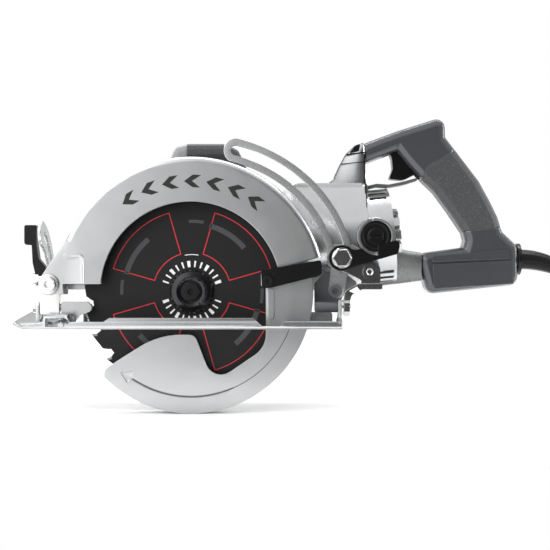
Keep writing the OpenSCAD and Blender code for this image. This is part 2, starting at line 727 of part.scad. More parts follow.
boot_steps = 8;
function boot_at(t) = [
    cord_exit.x + boot_bend_r * sin(t),
    motor_y,
    cord_exit.y - boot_bend_r * (1 - cos(t))
];
boot_turn = boot_len / boot_bend_r * 180 / PI;
boot_way = [cos(boot_turn), 0, -sin(boot_turn)];
module cord_boot() color([0.12, 0.12, 0.12]) sweep(
    [for (i = [0:boot_steps]) boot_at(boot_turn * i / boot_steps)],
    [for (i = [0:boot_steps]) (boot_d0 + (boot_d1 - boot_d0) * pow(i / boot_steps, 2)) / 2],
    12, [1, 0, 0], boot_way
);

// Cord: down from the boot to the floor, then a coil of two layers and the plug beside it
floor_z = arbor_z - lower_r;
cord_r = cord_d / 2;
lead_bend_r = 50;
floor_bend_r = 40;
boot_end = boot_at(boot_turn);
drop_x = boot_end.x + lead_bend_r * (1 - sin(boot_turn));
drop_z = boot_end.z - lead_bend_r * cos(boot_turn);
lay_z = floor_z + cord_r;
coil_centre = [drop_x + floor_bend_r + 14, motor_y - coil_r];
coil_turns = 6.5;
layer_h = cord_d + 0.5;
lead_path = concat(
    [for (a = [boot_turn:(90 - boot_turn) / 5:90.01])
        [drop_x - lead_bend_r * (1 - sin(a)), motor_y, drop_z + lead_bend_r * cos(a)]],
    [[drop_x, motor_y, lay_z + floor_bend_r]],
    [for (a = [15:15:90])
        [drop_x + floor_bend_r * (1 - cos(a)), motor_y, lay_z + floor_bend_r * (1 - sin(a))]],
    [[coil_centre.x, motor_y, lay_z]]
);
module cord_lead() color([0.08, 0.08, 0.08]) sweep(
    lead_path, [for (p = lead_path) cord_r], 8, boot_way, [1, 0, 0]
);

// The coil spirals in on the floor, climbs in the half turn where it reverses and spirals out
function coil_point(t) =
    let (
        r = coil_r - coil_pitch * (t < coil_turns / 2 ? t : coil_turns - t),
        climb = min(1, max(0, (t - coil_turns / 2 + 0.25) / 0.5)),
        a = 90 - 360 * t
    )
    [coil_centre.x + r * cos(a), coil_centre.y + r * sin(a),
        lay_z + layer_h * (1 - cos(180 * climb)) / 2];
coil_rings = 24;
tail_len = 22;
coil_path = concat(
    [[coil_centre.x, motor_y, lay_z]],
    [for (i = [1:coil_turns * coil_rings]) coil_point(i / coil_rings)],
    [coil_point(coil_turns) - [tail_len, 0, 0]]
);
module cord_coil() color([0.08, 0.08, 0.08]) sweep(
    coil_path, [for (p = coil_path) cord_r], 6, [1, 0, 0], [-1, 0, 0]
);

function path_length(p) = len(p) < 2 ? 0
    : [for (i = [1:len(p) - 1]) norm(p[i] - p[i - 1])] * [for (i = [1:len(p) - 1]) 1];
echo(cord_length = path_length(lead_path) + path_length(coil_path));
least_gap = min([for (i = [0:4:len(coil_path) - 12]) for (j = [i + 12:len(coil_path) - 1])
    norm(coil_path[i] - coil_path[j])]) - cord_d;
echo(coil_gap = least_gap);

plug_len = 42;
plug_end = coil_point(coil_turns) - [tail_len, 0, 0];
module plug() color([0.1, 0.1, 0.1]) {
    r = plug_end.z - floor_z;
    bar_x([plug_end.y, plug_end.z], plug_end.x - plug_len, plug_end.x - 14, r);
    translate([plug_end.x - 14, plug_end.y, plug_end.z]) rotate([0, 90, 0])
        cylinder(h = 14, r1 = r, r2 = cord_r + 1);
    color("goldenrod") for (side = [-1, 1])
        translate([plug_end.x - plug_len - 17, plug_end.y + side * 6.35 - 0.8, plug_end.z - 1])
            cube([17, 1.6, 6.4]);
    color("goldenrod")
        bar_x([plug_end.y, plug_end.z - 8], plug_end.x - plug_len - 20, plug_end.x - plug_len, 2.4);
}

// Front handle: an arch over the gear case with a rubber grip
front_edge = 6;
front_rubber_t = 1.5;
leg_r = 9;
bar_r = 8.5;
front_stations = [
    [112, pad_top + leg_r, leg_r], [113, 134, leg_r], [115.5, 156, leg_r],
    [121, front_handle_top - bar_r - 1.5, bar_r], [127.5, front_handle_top - bar_r, bar_r],
    [162, front_handle_top - bar_r, bar_r], [171, front_handle_top - bar_r - 4, bar_r],
    [176.5, 155, leg_r], [166, 137, leg_r], [153.6, 121, leg_r], [153.6, pad_top + leg_r, leg_r]
];
front_cells = [for (i = [0:len(front_stations) - 2]) [front_stations[i], front_stations[i + 1]]];
grip_x = [127, 188];
grip_low = 150;
module front_side(less) translate([0, front_y, 0]) {
    chain(front_cells, front_handle_w / 2, front_edge - less, less);
    for (p = front_handle_screws) translate([p - leg_r + less, -9, pad_top])
        cube([2 * (leg_r - less), 9, leg_r]);
}
module front_zone() translate([grip_x[0], front_y - 40, grip_low]) cube([grip_x[1] - grip_x[0], 80, 60]);
module front_handle_half() difference() {
    front_side(0);
    difference() {
        front_zone();
        front_side(front_rubber_t);
    }
    for (p = front_handle_screws) translate([p, front_y, pad_top - 1]) cylinder(h = 12, r = 2.6);
    for (p = front_handle_screws) translate([p, front_y, pad_top + 10]) cylinder(h = 90, r = 4.8);
}
module front_handle() color("darkgray") {
    front_handle_half();
    other_side(front_y) front_handle_half();
}
module front_grip_side() difference() {
    intersection() {
        front_zone();
        front_side(0);
    }
    front_side(front_rubber_t);
    for (p = front_handle_screws) translate([p, front_y, pad_top]) cylinder(h = 90, r = 4.8);
}
module front_grip_cover() color([0.22, 0.22, 0.23]) {
    front_grip_side();
    other_side(front_y) front_grip_side();
}
module handle_screws() color("silver") for (p = front_handle_screws) translate([p, front_y, 0]) {
    translate([0, 0, pad_top - 12]) cylinder(h = 22, r = 2.4);
    translate([0, 0, pad_top + 10]) cylinder(h = 3.5, r = 4.4);
}

// Depth lock: bolt through the slot, lever and nut on the near side, stop plate behind them
nut_r = 9;
lever_t = 5.5;
plate_y = [3.1, 5.6];
brush_centre = on_axis(brush_s);
module depth_bolt() color("silver") bar_y(lock, lever_y - 7, lock_bolt_end, lock_bolt_r);
module depth_lever() color([0.07, 0.07, 0.07]) difference() {
    union() {
        bar_y(lock, lever_y, lever_y + lever_t, 12.5);
        slab(lever_y, lever_y + lever_t) polygon(rounded([
            [lock.x + 3, lock.y - 12, 0], [lock.x + 10, lock.y - 8.6, 8], [lock.x + 54, lock.y + 4, 3],
            [lock.x + 56, lock.y + 14, 5], [lock.x + 52.5, lock.y + 17, 2], [lock.x + 36, lock.y + 13, 2],
            [lock.x + 12, lock.y + 7.6, 8], [lock.x + 3, lock.y + 12, 0]
        ]));
    }
    intersection() {
        bar_y(brush_centre, lever_y - 1, lever_y + lever_t + 1, brush_boss_r + 0.6);
        slab(lever_y - 1, lever_y + lever_t + 1) translate([lock.x, lock.y])
            square([brush_centre.x + 1 - lock.x, 40]);
    }
    bar_y(lock, lever_y - 1, lever_y + 8, lock_bolt_r + run);
}
module depth_lever_nut() color("silver") difference() {
    union() {
        hex_y(lock, lever_y - 7, lever_y - gap, nut_r);
        bar_y(lock, lever_y - 1.6, lever_y - gap, nut_r + 0.8);
    }
    bar_y(lock, lever_y - 8, lever_y + 1, lock_bolt_r + run);
}
module stop_plate() color("silver") difference() {
    union() {
        slab(plate_y[0], plate_y[1]) polygon(rounded([
            [lock.x - 4, lock.y - 10, 6], [stop_screw.x - 8, stop_screw.y - 8, 3],
            [stop_screw.x - 8, stop_screw.y - 13, 0.5],
            [stop_screw.x + 10.5, stop_screw.y - 13, 0.5], [stop_screw.x + 10.5, stop_screw.y + 6, 8],
            [stop_screw.x + 2, stop_screw.y + 10.5, 8], [lock.x - 4, lock.y + 10, 6]
        ]));
        bar_y(stop_screw, plate_y[1] - 1, pad_y0, 7);
    }
    bar_y(stop_screw, 0, 20, stop_screw_r);
    bar_y(lock, 0, 20, lock_bolt_r + run);
}
module stop_plate_screw() color("silver") {
    bar_y(stop_screw, plate_y[0] - 1, lock_bolt_end - 1, stop_screw_r);
    difference() {
        bar_y(stop_screw, plate_y[0] - 3, plate_y[0], 6.5);
        hex_y(stop_screw, plate_y[0] - 4, plate_y[0] - 1.5, 3);
    }
}

// Lower guard
lower_tip_angle = 224;
lower_rear_angle = 370;
lower_window = moved(rounded([
    [71, 12, 0], [71.2, -53, 24], [21.4, -86.9, 15], [3.6, -41, 8], [-30, -40.3, 75],
    [-84, -74.5, 9], [-81, -90, 4], [-90, -104, 0], [-140, -110, 0], [-140, 60, 0], [0, 60, 0], [60, 20, 0]
], 6), [arbor_x, arbor_z]);
lower_hub_r = 33;
lever_screw = [73.2, 10.2];
lever_screw_r = 2.5;

module lower_face(y0, y1) difference() {
    intersection() {
        bar_y([arbor_x, arbor_z], y0, y1, lower_r);
        slab(y0, y1) polygon(guard_sector(lower_tip_angle - 3, lower_rear_angle, 130));
    }
    slab(y0 - 1, y1 + 1) polygon(lower_window);
}
function guard_sector(a0, a1, r) = moved(
    concat([[0, 0]], [for (i = [0:8]) polar(r, a0 + (a1 - a0) * i / 8)]), [arbor_x, arbor_z]
);

module lower_guard() color("lightgray") difference() {
    union() {
        lower_face(-lower_face_y, -lower_face_y + lower_wall);
        about_arbor(lower_tip_angle, lower_rear_angle)
            translate([lower_r - lower_wall - 0.1, -lower_back_y - 0.1])
            square([lower_wall, lower_back_y + lower_face_y - 0.9]);
        intersection() {
            difference() {
                bar_y([arbor_x, arbor_z], lower_back_y - lower_wall, lower_back_y, lower_r - 0.6);
                bar_y([arbor_x, arbor_z], lower_back_y - 9, lower_back_y + 1, 88);
            }
            slab(0, 20) polygon(guard_sector(lower_tip_angle + 0.5, lower_rear_angle - 0.5, 130));
        }
        intersection() {
            bar_y([arbor_x, arbor_z], lower_back_y - lower_wall + 0.05, lower_back_y - 0.05, 90);
            slab(0, 20) polygon(guard_sector(300, lower_rear_angle - 1, 130));
        }
        bar_y([arbor_x, arbor_z], lower_back_y - lower_wall - 0.05, lower_back_y + 0.05, lower_hub_r);
        guard_rib();
        lever_foot();
    }
    guard_groove();
    bar_y([arbor_x, arbor_z] + lever_screw, -40, -lower_face_y - 0.5, lever_screw_r);
    bar_y([arbor_x, arbor_z], 0, 20, nose_r + run);
}

// Shallow groove along the lower guard's face, ending in an arrow
groove_r = 100;
groove_depth = 0.6;
module guard_groove() at_arbor() translate([0, -lower_face_y + groove_depth, 0]) rotate([90, 0, 0])
    linear_extrude(groove_depth + 1) {
        difference() {
            intersection() {
                circle(groove_r + 0.9, $fn = 128);
                polygon([[0, 0], polar(150, 234), polar(150, 265), polar(150, 294)]);
            }
            circle(groove_r - 0.9, $fn = 128);
        }
        rotate(234) translate([groove_r, 0]) polygon([[-6, 0], [1.5, -9], [6, 2]]);
    }

// Upright rib on the lower guard's face, and the block that carries the lift lever
module guard_rib() slab(-lower_face_y - 2.5, -lower_face_y + 1) polygon(rounded(moved([
    [73, -26, 3], [79, -26, 3], [79, 3, 2], [73, 3, 2]
], [arbor_x, arbor_z])));
module lever_foot() slab(-guard_face_y - 1, -lower_face_y + 1) polygon(rounded(moved([
    [66.5, 5, 2], [81, 5, 2], [81, 20, 2], [66.5, 20, 2]
], [arbor_x, arbor_z])));

lever_block_y = -guard_face_y - 1;
module guard_lever() color([0.08, 0.08, 0.08]) difference() {
    slab(lever_block_y - 5, lever_block_y) polygon(rounded(moved([
        [67.5, 3.5, 3], [76, 3.8, 2], [122, 15.5, 3], [124.5, 20, 3], [123, 30, 1.5], [66.5, 20.5, 1.5]
    ], [arbor_x, arbor_z])));
    bar_y([arbor_x, arbor_z] + lever_screw, lever_block_y - 6, lever_block_y + 1, lever_screw_r);
}
module guard_lever_screws() color("dimgray") {
    at = [arbor_x, arbor_z] + lever_screw;
    bar_y(at, lever_block_y - 5, -lower_face_y - 0.5, lever_screw_r);
    difference() {
        bar_y(at, lever_block_y - 8, lever_block_y - 5, 5.2);
        hex_y(at, lever_block_y - 9, lever_block_y - 6.5, 2.4);
    }
    bar_y(at + [5.7, 6.6], lever_block_y - 6.2, lever_block_y - 5, 1.8);
}
retainer_r = nose_r + 4;
module guard_retainer() color("dimgray") difference() {
    bar_y([arbor_x, arbor_z], lower_back_y - lower_wall - 2, lower_back_y - lower_wall - gap, retainer_r);
    bar_y([arbor_x, arbor_z], 0, 20, nose_r);
}

// Torsion spring that closes the lower guard, round the retainer
spring_wire_r = 0.45;
spring_turns = 2;
spring_pitch = 1.15;
spring_path = [for (i = [0:spring_turns * 14]) [
    arbor_x + (retainer_r + 1.5) * cos(i * 360 / 14),
    lower_back_y - lower_wall - gap - spring_wire_r - spring_pitch * i / 14,
    arbor_z + (retainer_r + 1.5) * sin(i * 360 / 14)
]];
module guard_spring() color("silver") sweep(
    spring_path, [for (p = spring_path) spring_wire_r], 6, [0, 0, 1], [0, 0, 1]
);

// Blade and what clamps it
tooth_step = 360 / tooth_count;
first_tooth = 158;

module blade() color([0.13, 0.13, 0.13]) difference() {
    slab(-blade_t / 2, blade_t / 2) translate([arbor_x, arbor_z]) blade_outline();
    bar_y([arbor_x, arbor_z], -5, 5, arbor_d / 2 + run);
}
module blade_outline() union() {
    circle(blade_r - gullet_h - 0.5, $fn = 128);
    for (i = [0:tooth_count - 1]) rotate(first_tooth + i * tooth_step) tooth_shape();
}
// Tooth at angle 0 that points clockwise's opposite in the view from the near side
module tooth_shape() polygon([
    polar(blade_r - gullet_h - 4, 2), polar(blade_r - gullet_h + 0.2, 0.2),
    polar(blade_r - tip_h, 0.9), polar(blade_r, 0),
    polar(blade_r - 1.6, 4), polar(blade_r - 2.8, 8), polar(blade_r - 3.2, tooth_step * 0.64),
    polar(blade_r - gullet_h * 0.5, tooth_step * 0.68), polar(blade_r - gullet_h * 0.9, tooth_step * 0.8),
    polar(blade_r - gullet_h - 4, tooth_step * 0.86)
]);

module inner_washer() color("dimgray") difference() {
    bar_y([arbor_x, arbor_z], blade_t / 2, blade_t / 2 + 4, washer_d / 2);
    bar_y([arbor_x, arbor_z], 0, 10, arbor_d / 2);
}
module outer_washer() color([0.2, 0.2, 0.21]) at_arbor() rotate([90, 0, 0]) rotate_extrude() polygon([
    [4.2, blade_t / 2], [washer_d / 2, blade_t / 2], [washer_d / 2, blade_t / 2 + 2.4],
    [washer_d / 2 - 2, blade_t / 2 + 5], [washer_d / 2 - 6.5, blade_t / 2 + 6],
    [washer_d / 2 - 9, blade_t / 2 + 4.6], [4.2, blade_t / 2 + 4.6]
]);
bolt_y = -blade_t / 2 - 4.6;
module blade_bolt() color([0.18, 0.18, 0.19]) {
    bar_y([arbor_x, arbor_z], bolt_y, 26, 4);
    difference() {
        union() {
            bar_y([arbor_x, arbor_z], bolt_y - 1.6, bolt_y, 10);
            hex_y([arbor_x, arbor_z], bolt_y - 6.5, bolt_y - 1.6, 8.4);
        }
        hex_y([arbor_x, arbor_z], bolt_y - 7, bolt_y - 3.5, 3.4);
    }
}
module arbor_shaft() color("lightgray") difference() {
    bar_y([arbor_x, arbor_z], -blade_t / 2, case_back_y + 3, arbor_d / 2);
    bar_y([arbor_x, arbor_z], -5, 28, 4);
}

// Worm and wheel: both are helical and of the same hand
backlash = 0.62;
function tooth_flank(r, count, i) =
    let (
        half = 90 / count,
        low = r - 1.2 * gear_module,
        high = r + 0.95 * gear_module,
        middle = i * 360 / count
    )
    [
        polar(low, middle - half * 1.1), polar(r, middle - half * backlash),
        polar(high, middle - half * backlash * 0.45), polar(high, middle + half * backlash * 0.45),
        polar(r, middle + half * backlash), polar(low, middle + half * 1.1)
    ];
module gear_outline(r, count) polygon([for (i = [0:count - 1]) each tooth_flank(r, count, i)]);

wheel_twist = wheel_w * tan(lead_angle) / wheel_r * 180 / PI;
wheel_phase = wheel_twist / 2 - 90 - motor_tilt;
module worm_wheel() color("darkgoldenrod") at_arbor() translate([0, motor_y, 0]) rotate([-90, 0, 0])
    rotate(wheel_phase) difference() {
        linear_extrude(wheel_w, center = true, twist = wheel_twist, slices = 2)
            gear_outline(wheel_r, wheel_teeth);
        cylinder(h = wheel_w + 2, r = arbor_d / 2, center = true);
    }
worm_slices = 16;
worm_phase = 180 / worm_starts + 180 * worm_len / worm_lead;
module worm() color("lightgray") in_motor() rotate(worm_phase) difference() {
    translate([0, 0, -worm_len / 2])
        linear_extrude(worm_len, twist = 360 * worm_len / worm_lead, slices = worm_slices)
            gear_outline(worm_r, worm_starts);
    bar_s(-worm_len, worm_len, shaft_r);
}

// Armature
commutator_r = 14;
fan_s = 70;
core_s = stator_s0 + 5;
module armature_shaft() color("lightgray") in_motor() {
    bar_s(front_bearing_s + 1, seam_s + bell_len - 6, shaft_r);
    bar_s(seam_s + bell_len - 6, seam_s + bell_len + 4, shaft_r - 1);
}
module armature_core() color("slategray") in_motor() difference() {
    bar_s(core_s, core_s + armature_len, armature_r);
    bar_s(core_s - 1, core_s + armature_len + 1, shaft_r);
    for (a = [0:30:330]) rotate(a) translate([armature_r - 5, -1.2, core_s - 1])
        cube([6, 2.4, armature_len + 2]);
}
module commutator() color("peru") in_motor() difference() {
    bar_s(brush_s - 10, brush_s + 10, commutator_r);
    bar_s(brush_s - 11, brush_s + 11, shaft_r);
    for (a = [0:15:345]) rotate(a) translate([commutator_r - 1.5, -0.3, brush_s - 11]) cube([2, 0.6, 22]);
}
module cooling_fan() color([0.2, 0.2, 0.2]) in_motor() difference() {
    union() {
        bar_s(fan_s, fan_s + 2, motor_r - motor_wall - 3);
        bar_s(fan_s, fan_s + 12, shaft_r + 4);
        for (a = [0:30:330]) rotate(a) translate([shaft_r + 3, -0.8, fan_s + 1])
            cube([motor_r - motor_wall - 13, 1.6, 12]);
    }
    bar_s(fan_s - 1, fan_s + 14, shaft_r);
}

// Tilt frame: front bracket with the depth pivot, and the rear bracket of the depth slot
hub_half = [-guard_face_y + guard_wall, guard_back_y - guard_wall];
lock_bolt = [-bevel_y + quadrant_slot_r * cos(lock_angle), bevel_z + quadrant_slot_r * sin(lock_angle)];
plate_x = [-6, -2];
lock_stud_r = 3.95;
bevel_pin_r = 3;
module front_tilt_bracket() color("silver") difference() {
    union() {
        bar_y(pivot, hub_half[0], hub_half[1], hub_r);
        slab(hub_half[0], hub_half[0] + 4) polygon(rounded([
            [-9.4, pivot_z, 0], [-9.6, 27, 4], [-9.2, 13, 2], [9, 13, 2], [9.4, pivot_z, 0]
        ]));
        slab(hub_half[0], -2.5) polygon(rounded([
            [-9, bevel_z - 6, 3], [8.6, bevel_z - 6, 3], [9, pivot_z - 8, 3], [6, pivot_z, 0],
            [-6, pivot_z, 0],
            [-9, pivot_z - 8, 3]
        ]));
        translate([plate_x[0], 0, 0]) rotate([90, 0, 90]) linear_extrude(plate_x[1] - plate_x[0])
            polygon(rounded([
            [-14, bevel_z - 6, 3], [6, bevel_z - 6, 3], [lock_bolt.x + 4, lock_bolt.y - 16, 6],
            [lock_bolt.x + 10, lock_bolt.y + 6, 8], [lock_bolt.x - 5, lock_bolt.y + 11, 8],
            [24, pivot_z - 11.5, 4], [-14, pivot_z - 11.5, 2]
        ]));
        bar_x(lock_bolt, quadrant_x[1] + gap, plate_x[0] + 1, 8);
    }
    bar_x(lock_bolt, -20, 10, lock_stud_r + run);
    bar_y(pivot, -30, 30, pivot_bolt_r + run);
    bar_x(bevel_axis, -20, 20, bevel_pin_r + run);
}
quadrant_x = [-13, -10];
pivot_bolt_r = 4;
module depth_pivot_bolt() color("silver") {
    bar_y(pivot, -guard_face_y - 1, guard_back_y + 1, pivot_bolt_r);
    difference() {
        union() {
            bar_y(pivot, -guard_face_y - 7, -guard_face_y - 2, 7);
            bar_y(pivot, -guard_face_y - 2.5, -guard_face_y - 0.2, 9.4);
        }
        hex_y(pivot, -guard_face_y - 8, -guard_face_y - 4.5, 3.4);
    }
    hex_y(pivot, guard_back_y + 0.2, guard_back_y + 6, 7.5);
}

rear_x = foot_len - foot_front;
upright_x = [rear_x - 1, rear_x + 2];
sweep_gap = 2;
rear_block_x = [arbor_x + lower_r + sweep_gap, upright_x[0] - gap];
module rear_tilt_bracket() color("dimgray") difference() {
    union() {
        bar_x(bevel_axis, rear_block_x[0], rear_block_x[1], 5);
        slab(bracket_y1 + gap, bracket_y1 + 4.3) polygon(rounded([
            [rear_block_x[0], bevel_z - 4, 3], [rear_block_x[1], bevel_z - 4, 3],
            [bracket_pivot.x + 8, bracket_pivot.y - 4, 3], [bracket_pivot.x + 21, bracket_pivot.y + 3, 3],
            [bracket_pivot.x + 21, bracket_pivot.y + 9, 3], [bracket_pivot.x + 8, bracket_pivot.y + 19, 3],
            [bracket_pivot.x - 8, bracket_pivot.y + 19, 4], [rear_block_x[0], bracket_pivot.y + 8, 3]
        ]));
        translate([rear_block_x[0], -bevel_y, bevel_z - 4])
            cube([rear_block_x[1] - rear_block_x[0], bevel_y + bracket_y1 + 2, 5]);
        bar_y(bracket_pivot, bracket_y0 - 4, bracket_y1 + 2, 5);
        bar_y(bracket_pivot, bracket_y0 - 4, bracket_y0 - gap, 6.3);
    }
    bar_x(bevel_axis, rear_block_x[0] - 1, rear_block_x[1] + 1, bevel_pin_r + run);
    hex_y(bracket_pivot, bracket_y0 - 5, bracket_y0 - 1, 3.2);
}

// Depth bracket: its slot is the path of the lock bolt, seen from the turning bracket
function slot_point(t) =
    let (bolt = pivot + turn(lock - pivot, t))
    bracket_pivot + turn(bolt - bracket_pivot, bracket_ratio * t);
slot_steps = 24;
slot_line = [for (i = [0:slot_steps]) slot_point(-0.4 + (depth_travel + 1) * i / slot_steps)];
function side_line(line, d) =
    [for (i = [0:len(line) - 1])
        let (t = unit(line[min(i + 1, len(line) - 1)] - line[max(i - 1, 0)]))
        line[i] + d * [-t.y, t.x]];
function reversed(p) = [for (i = [len(p) - 1:-1:0]) p[i]];
function end_arc(p, a, r) = [for (i = [1:11]) p + polar(r, a - 15 * i)];
function heading(a, b) = atan2(b.y - a.y, b.x - a.x);
module stripe(line, r) {
    k = len(line) - 1;
    polygon(concat(
        side_line(line, r), end_arc(line[k], heading(line[k - 1], line[k]) + 90, r),
        reversed(side_line(line, -r)), end_arc(line[0], heading(line[0], line[1]) - 90, r)
    ));
}
module depth_bracket() color("lightgray") difference() {
    union() {
        slab(bracket_y0, bracket_y1) stripe(slot_line, slot_r + bracket_band);
        slab(bracket_y0 + 0.1, bracket_y1 - 0.1) polygon(rounded([
            [bracket_pivot.x - 7, bracket_pivot.y - 7, 6.9], [bracket_pivot.x + 7, bracket_pivot.y - 7, 6.9],
            [lock.x + 10, lock.y, 0], [lock.x - 10, lock.y - 4, 0]
        ]));
    }
    slab(bracket_y0 - 1, bracket_y1 + 1) stripe(slot_line, slot_r);
    bar_y(bracket_pivot, bracket_y0 - 1, bracket_y1 + 1, 5 + run);
}

// Foot: stamped plate with an upturned nose, rails and the rip fence channel
near_rail_t = 2.6;
opening = [22, arbor_x + lower_r + sweep_gap + 1];
opening_y = [-18, 48];
fence_x = 8.5;
fence_top = 14.5;

nose_curl_r = 22;
nose_curl = 62;
function curl_line(r, base) = [for (a = [0:nose_curl / 8:nose_curl + 0.01])
    [-nose_start_x - r * sin(a), base + r * (1 - cos(a))]];
nose_start_x = foot_front - 17;
lip_end = [-foot_front - 4.7, 16];
function foot_side() = concat(
    [[rear_x, 0]],
    curl_line(nose_curl_r, 0),
    [lip_end, lip_end + [2.2, 1.2]],
    reversed(curl_line(nose_curl_r - foot_t, foot_t)),
    [[rear_x, foot_t]]
);

module foot_plate() color("silver") difference() {
    union() {
        slab(-foot_near, foot_far) polygon(foot_side());
        near_rail();
        slab(foot_far - near_rail_t, foot_far) polygon(rounded([
            [-nose_start_x, 1, 0], [rear_x - 1, 1, 0], [rear_x - 1, far_rail_h, 3], [-10, far_rail_h, 3]
        ]));
        for (y = [[-foot_near, -foot_near + 16], [foot_far - 28, foot_far]]) fence_arch(y);
        rear_upright();
        front_upright();
    }
    translate([-foot_front - 20, 0, 0]) rotate([90, 0, 90]) linear_extrude(foot_front + 10) polygon([
        [-foot_near - 5, 6.6], [foot_far + 5, 15.5], [foot_far + 5, 40], [-foot_near - 5, 40]
    ]);
    translate([opening.x, opening_y[0], -1]) linear_extrude(foot_t + 1.5) polygon(rounded([
        [0, 0, 6], [opening.y - opening.x, 0, 4],
        [opening.y - opening.x, opening_y[1] - opening_y[0], 4], [0, opening_y[1] - opening_y[0], 10]
    ]));
    for (y = [[-foot_near - 1, -foot_near + 17], [foot_far - 29, foot_far + 1]])
        translate([fence_x - fence_slot_w / 2, y[0], foot_t]) cube([fence_slot_w, y[1] - y[0], 8]);
    translate([fence_x, foot_far - 14, foot_t]) cylinder(h = 30, r = fence_hole_r);
    bar_x(bevel_axis, rear_x - 10, rear_x + 10, bevel_pin_r);
    bar_x(bevel_axis, 8, 50, bevel_pin_r);
}
module near_rail() slab(-foot_near, -foot_near + near_rail_t) polygon(rounded([
    [-nose_start_x, 1, 0], [rear_x - 1, 1, 0], [rear_x - 1, 7.5, 2], [222, 7.5, 2], [219, 3, 1],
    [202, 3, 3], [193.5, 10.7, 2], [59.5, 10.7, 2], [54, 7, 2], [22, 7, 2], [19.6, 14.5, 2], [-2.6, 14.5, 2],
    [-6.4, 6.4, 2], [-nose_start_x - 8, 6.4, 0]
]));
module fence_arch(y) slab(y[0], y[1]) polygon(rounded([
    [fence_x - 14, 1, 0], [fence_x + 14, 1, 0], [fence_x + 14, foot_t + 2, 2], [fence_x + 11, fence_top, 2.5],
    [fence_x - 11, fence_top, 2.5], [fence_x - 14, foot_t + 2, 2]
]));
module rear_upright() translate([upright_x[0], 0, 0]) rotate([90, 0, 90])
    linear_extrude(upright_x[1] - upright_x[0]) polygon(rounded([
        [-foot_near, 0, 0], [30, 0, 0], [30, 6, 2], [4, 12, 4], [-bevel_y + 8, bevel_z + 8, 6],
        [-bevel_y - 8, bevel_z + 8, 6], [-bevel_y - 14, 10, 4], [-foot_near, 7, 0]
    ]));
module front_upright() slab(-bevel_y - 5, -bevel_y + 4.5) polygon(rounded([
    [17.5, 1, 0], [22, 1, 0], [27, 12, 3], [38, bevel_z - 4, 2], [40, bevel_z + 1, 3],
    [35.5, bevel_z + 5.5, 2], [10.5, bevel_z + 5.5, 2], [10.5, bevel_z - 5, 2], [17.5, bevel_z - 8, 2]
]));

module bevel_quadrant() color("silver") {
    translate([quadrant_x[0], 0, 0]) rotate([90, 0, 90]) linear_extrude(quadrant_x[1] - quadrant_x[0])
        quadrant_outline();
    translate([quadrant_x[0], 32, foot_t]) cube([7, 44, 2.5]);
}
quadrant_end = lock_angle + bevel_travel + 8;
module quadrant_outline() difference() {
    union() {
        translate(bevel_axis) {
            intersection() {
                difference() {
                    circle(quadrant_r1, $fn = 128);
                    circle(quadrant_r0, $fn = 128);
                }
                polygon([[0, 0], polar(130, 2), polar(130, 45), polar(130, quadrant_end)]);
            }
            translate(polar((quadrant_r0 + quadrant_r1) / 2, quadrant_end))
                circle((quadrant_r1 - quadrant_r0) / 2);
            circle(8);
        }
        polygon(rounded([
            [-bevel_y - 8, foot_t, 0], [86, foot_t, 0], [78, 20, 6], [56, 26, 6], [44, 12, 6], [4, 12, 6],
            [-bevel_y + 8, bevel_z, 0], [-bevel_y - 8, bevel_z, 0]
        ]));
    }
    translate(bevel_axis) circle(bevel_pin_r);
    translate(bevel_axis) {
        intersection() {
            difference() {
                circle(quadrant_slot_r + slot_half, $fn = 128);
                circle(quadrant_slot_r - slot_half, $fn = 128);
            }
            polygon([[0, 0], polar(130, lock_angle), polar(130, 45), polar(130, lock_angle + bevel_travel)]);
        }
        for (a = [lock_angle, lock_angle + bevel_travel]) translate(polar(quadrant_slot_r, a))
            circle(slot_half);
    }
}
slot_half = 4.3;
module bevel_pivot_bolts() color("silver") {
    bar_x(bevel_axis, quadrant_x[0] - 1, 39, bevel_pin_r);
    bar_x(bevel_axis, quadrant_x[0] - 3.5, quadrant_x[0], 6);
    bar_x(bevel_axis, rear_block_x[0] + 3, upright_x[1] + 9, bevel_pin_r);
    bar_x(bevel_axis, upright_x[1], upright_x[1] + 2, 7);
}

// Bevel lock levers: a black paddle at the front and a bent lever at the rear
lever_head_r = 7.2;
module bevel_lever() {
    color("silver") {
        bar_x(lock_bolt, quadrant_x[0] - gap, plate_x[1] + 3, lock_stud_r);
        bar_x(lock_bolt, -24.5, quadrant_x[0] - gap, 6.4);
        bar_x(lock_bolt, -31, -24.5, lever_head_r);
        translate([-31, lock_bolt.x, lock_bolt.y]) sphere(lever_head_r);
    }
    color([0.07, 0.07, 0.07]) translate([0, lock_bolt.x + 6, 0]) rotate([90, 0, 0]) linear_extrude(12)
        polygon(rounded([
        [-24.5, lock_bolt.y - 8, 2], [-17, lock_bolt.y - 8, 2], [-17, lock_bolt.y + 12, 3],
        [-24, lock_bolt.y + 20, 4],
        [-26, lock_bolt.y + 34, 2], [-26, lock_bolt.y + 54, 1.5], [-38.5, lock_bolt.y + 54, 2],
        [-38.5, lock_bolt.y + 34, 3], [-31, lock_bolt.y + 34, 1], [-30, lock_bolt.y + 16, 4]
    ]));
}
module rear_bevel_lever() color("silver") difference() {
    union() {
        hex_x(bevel_axis, upright_x[1] + 2.2, upright_x[1] + 8, 8.6);
        translate([0, -bevel_y - 4, 0]) translate([0, 8, 0]) rotate([90, 0, 0]) linear_extrude(8)
            polygon(rounded([
            [upright_x[1] + 2.4, bevel_z + 4, 0], [upright_x[1] + 7.6, bevel_z + 4, 0],
            [upright_x[1] + 10, bevel_z + 12, 6],
            [rear_x + 22, 37, 3], [rear_x + 41, 37, 1], [rear_x + 41, 42.5, 1], [rear_x + 18, 42.5, 5],
            [upright_x[1] + 3, bevel_z + 15, 5]
        ]));
    }
    bar_x(bevel_axis, upright_x[1], upright_x[1] + 12, bevel_pin_r + run);
}
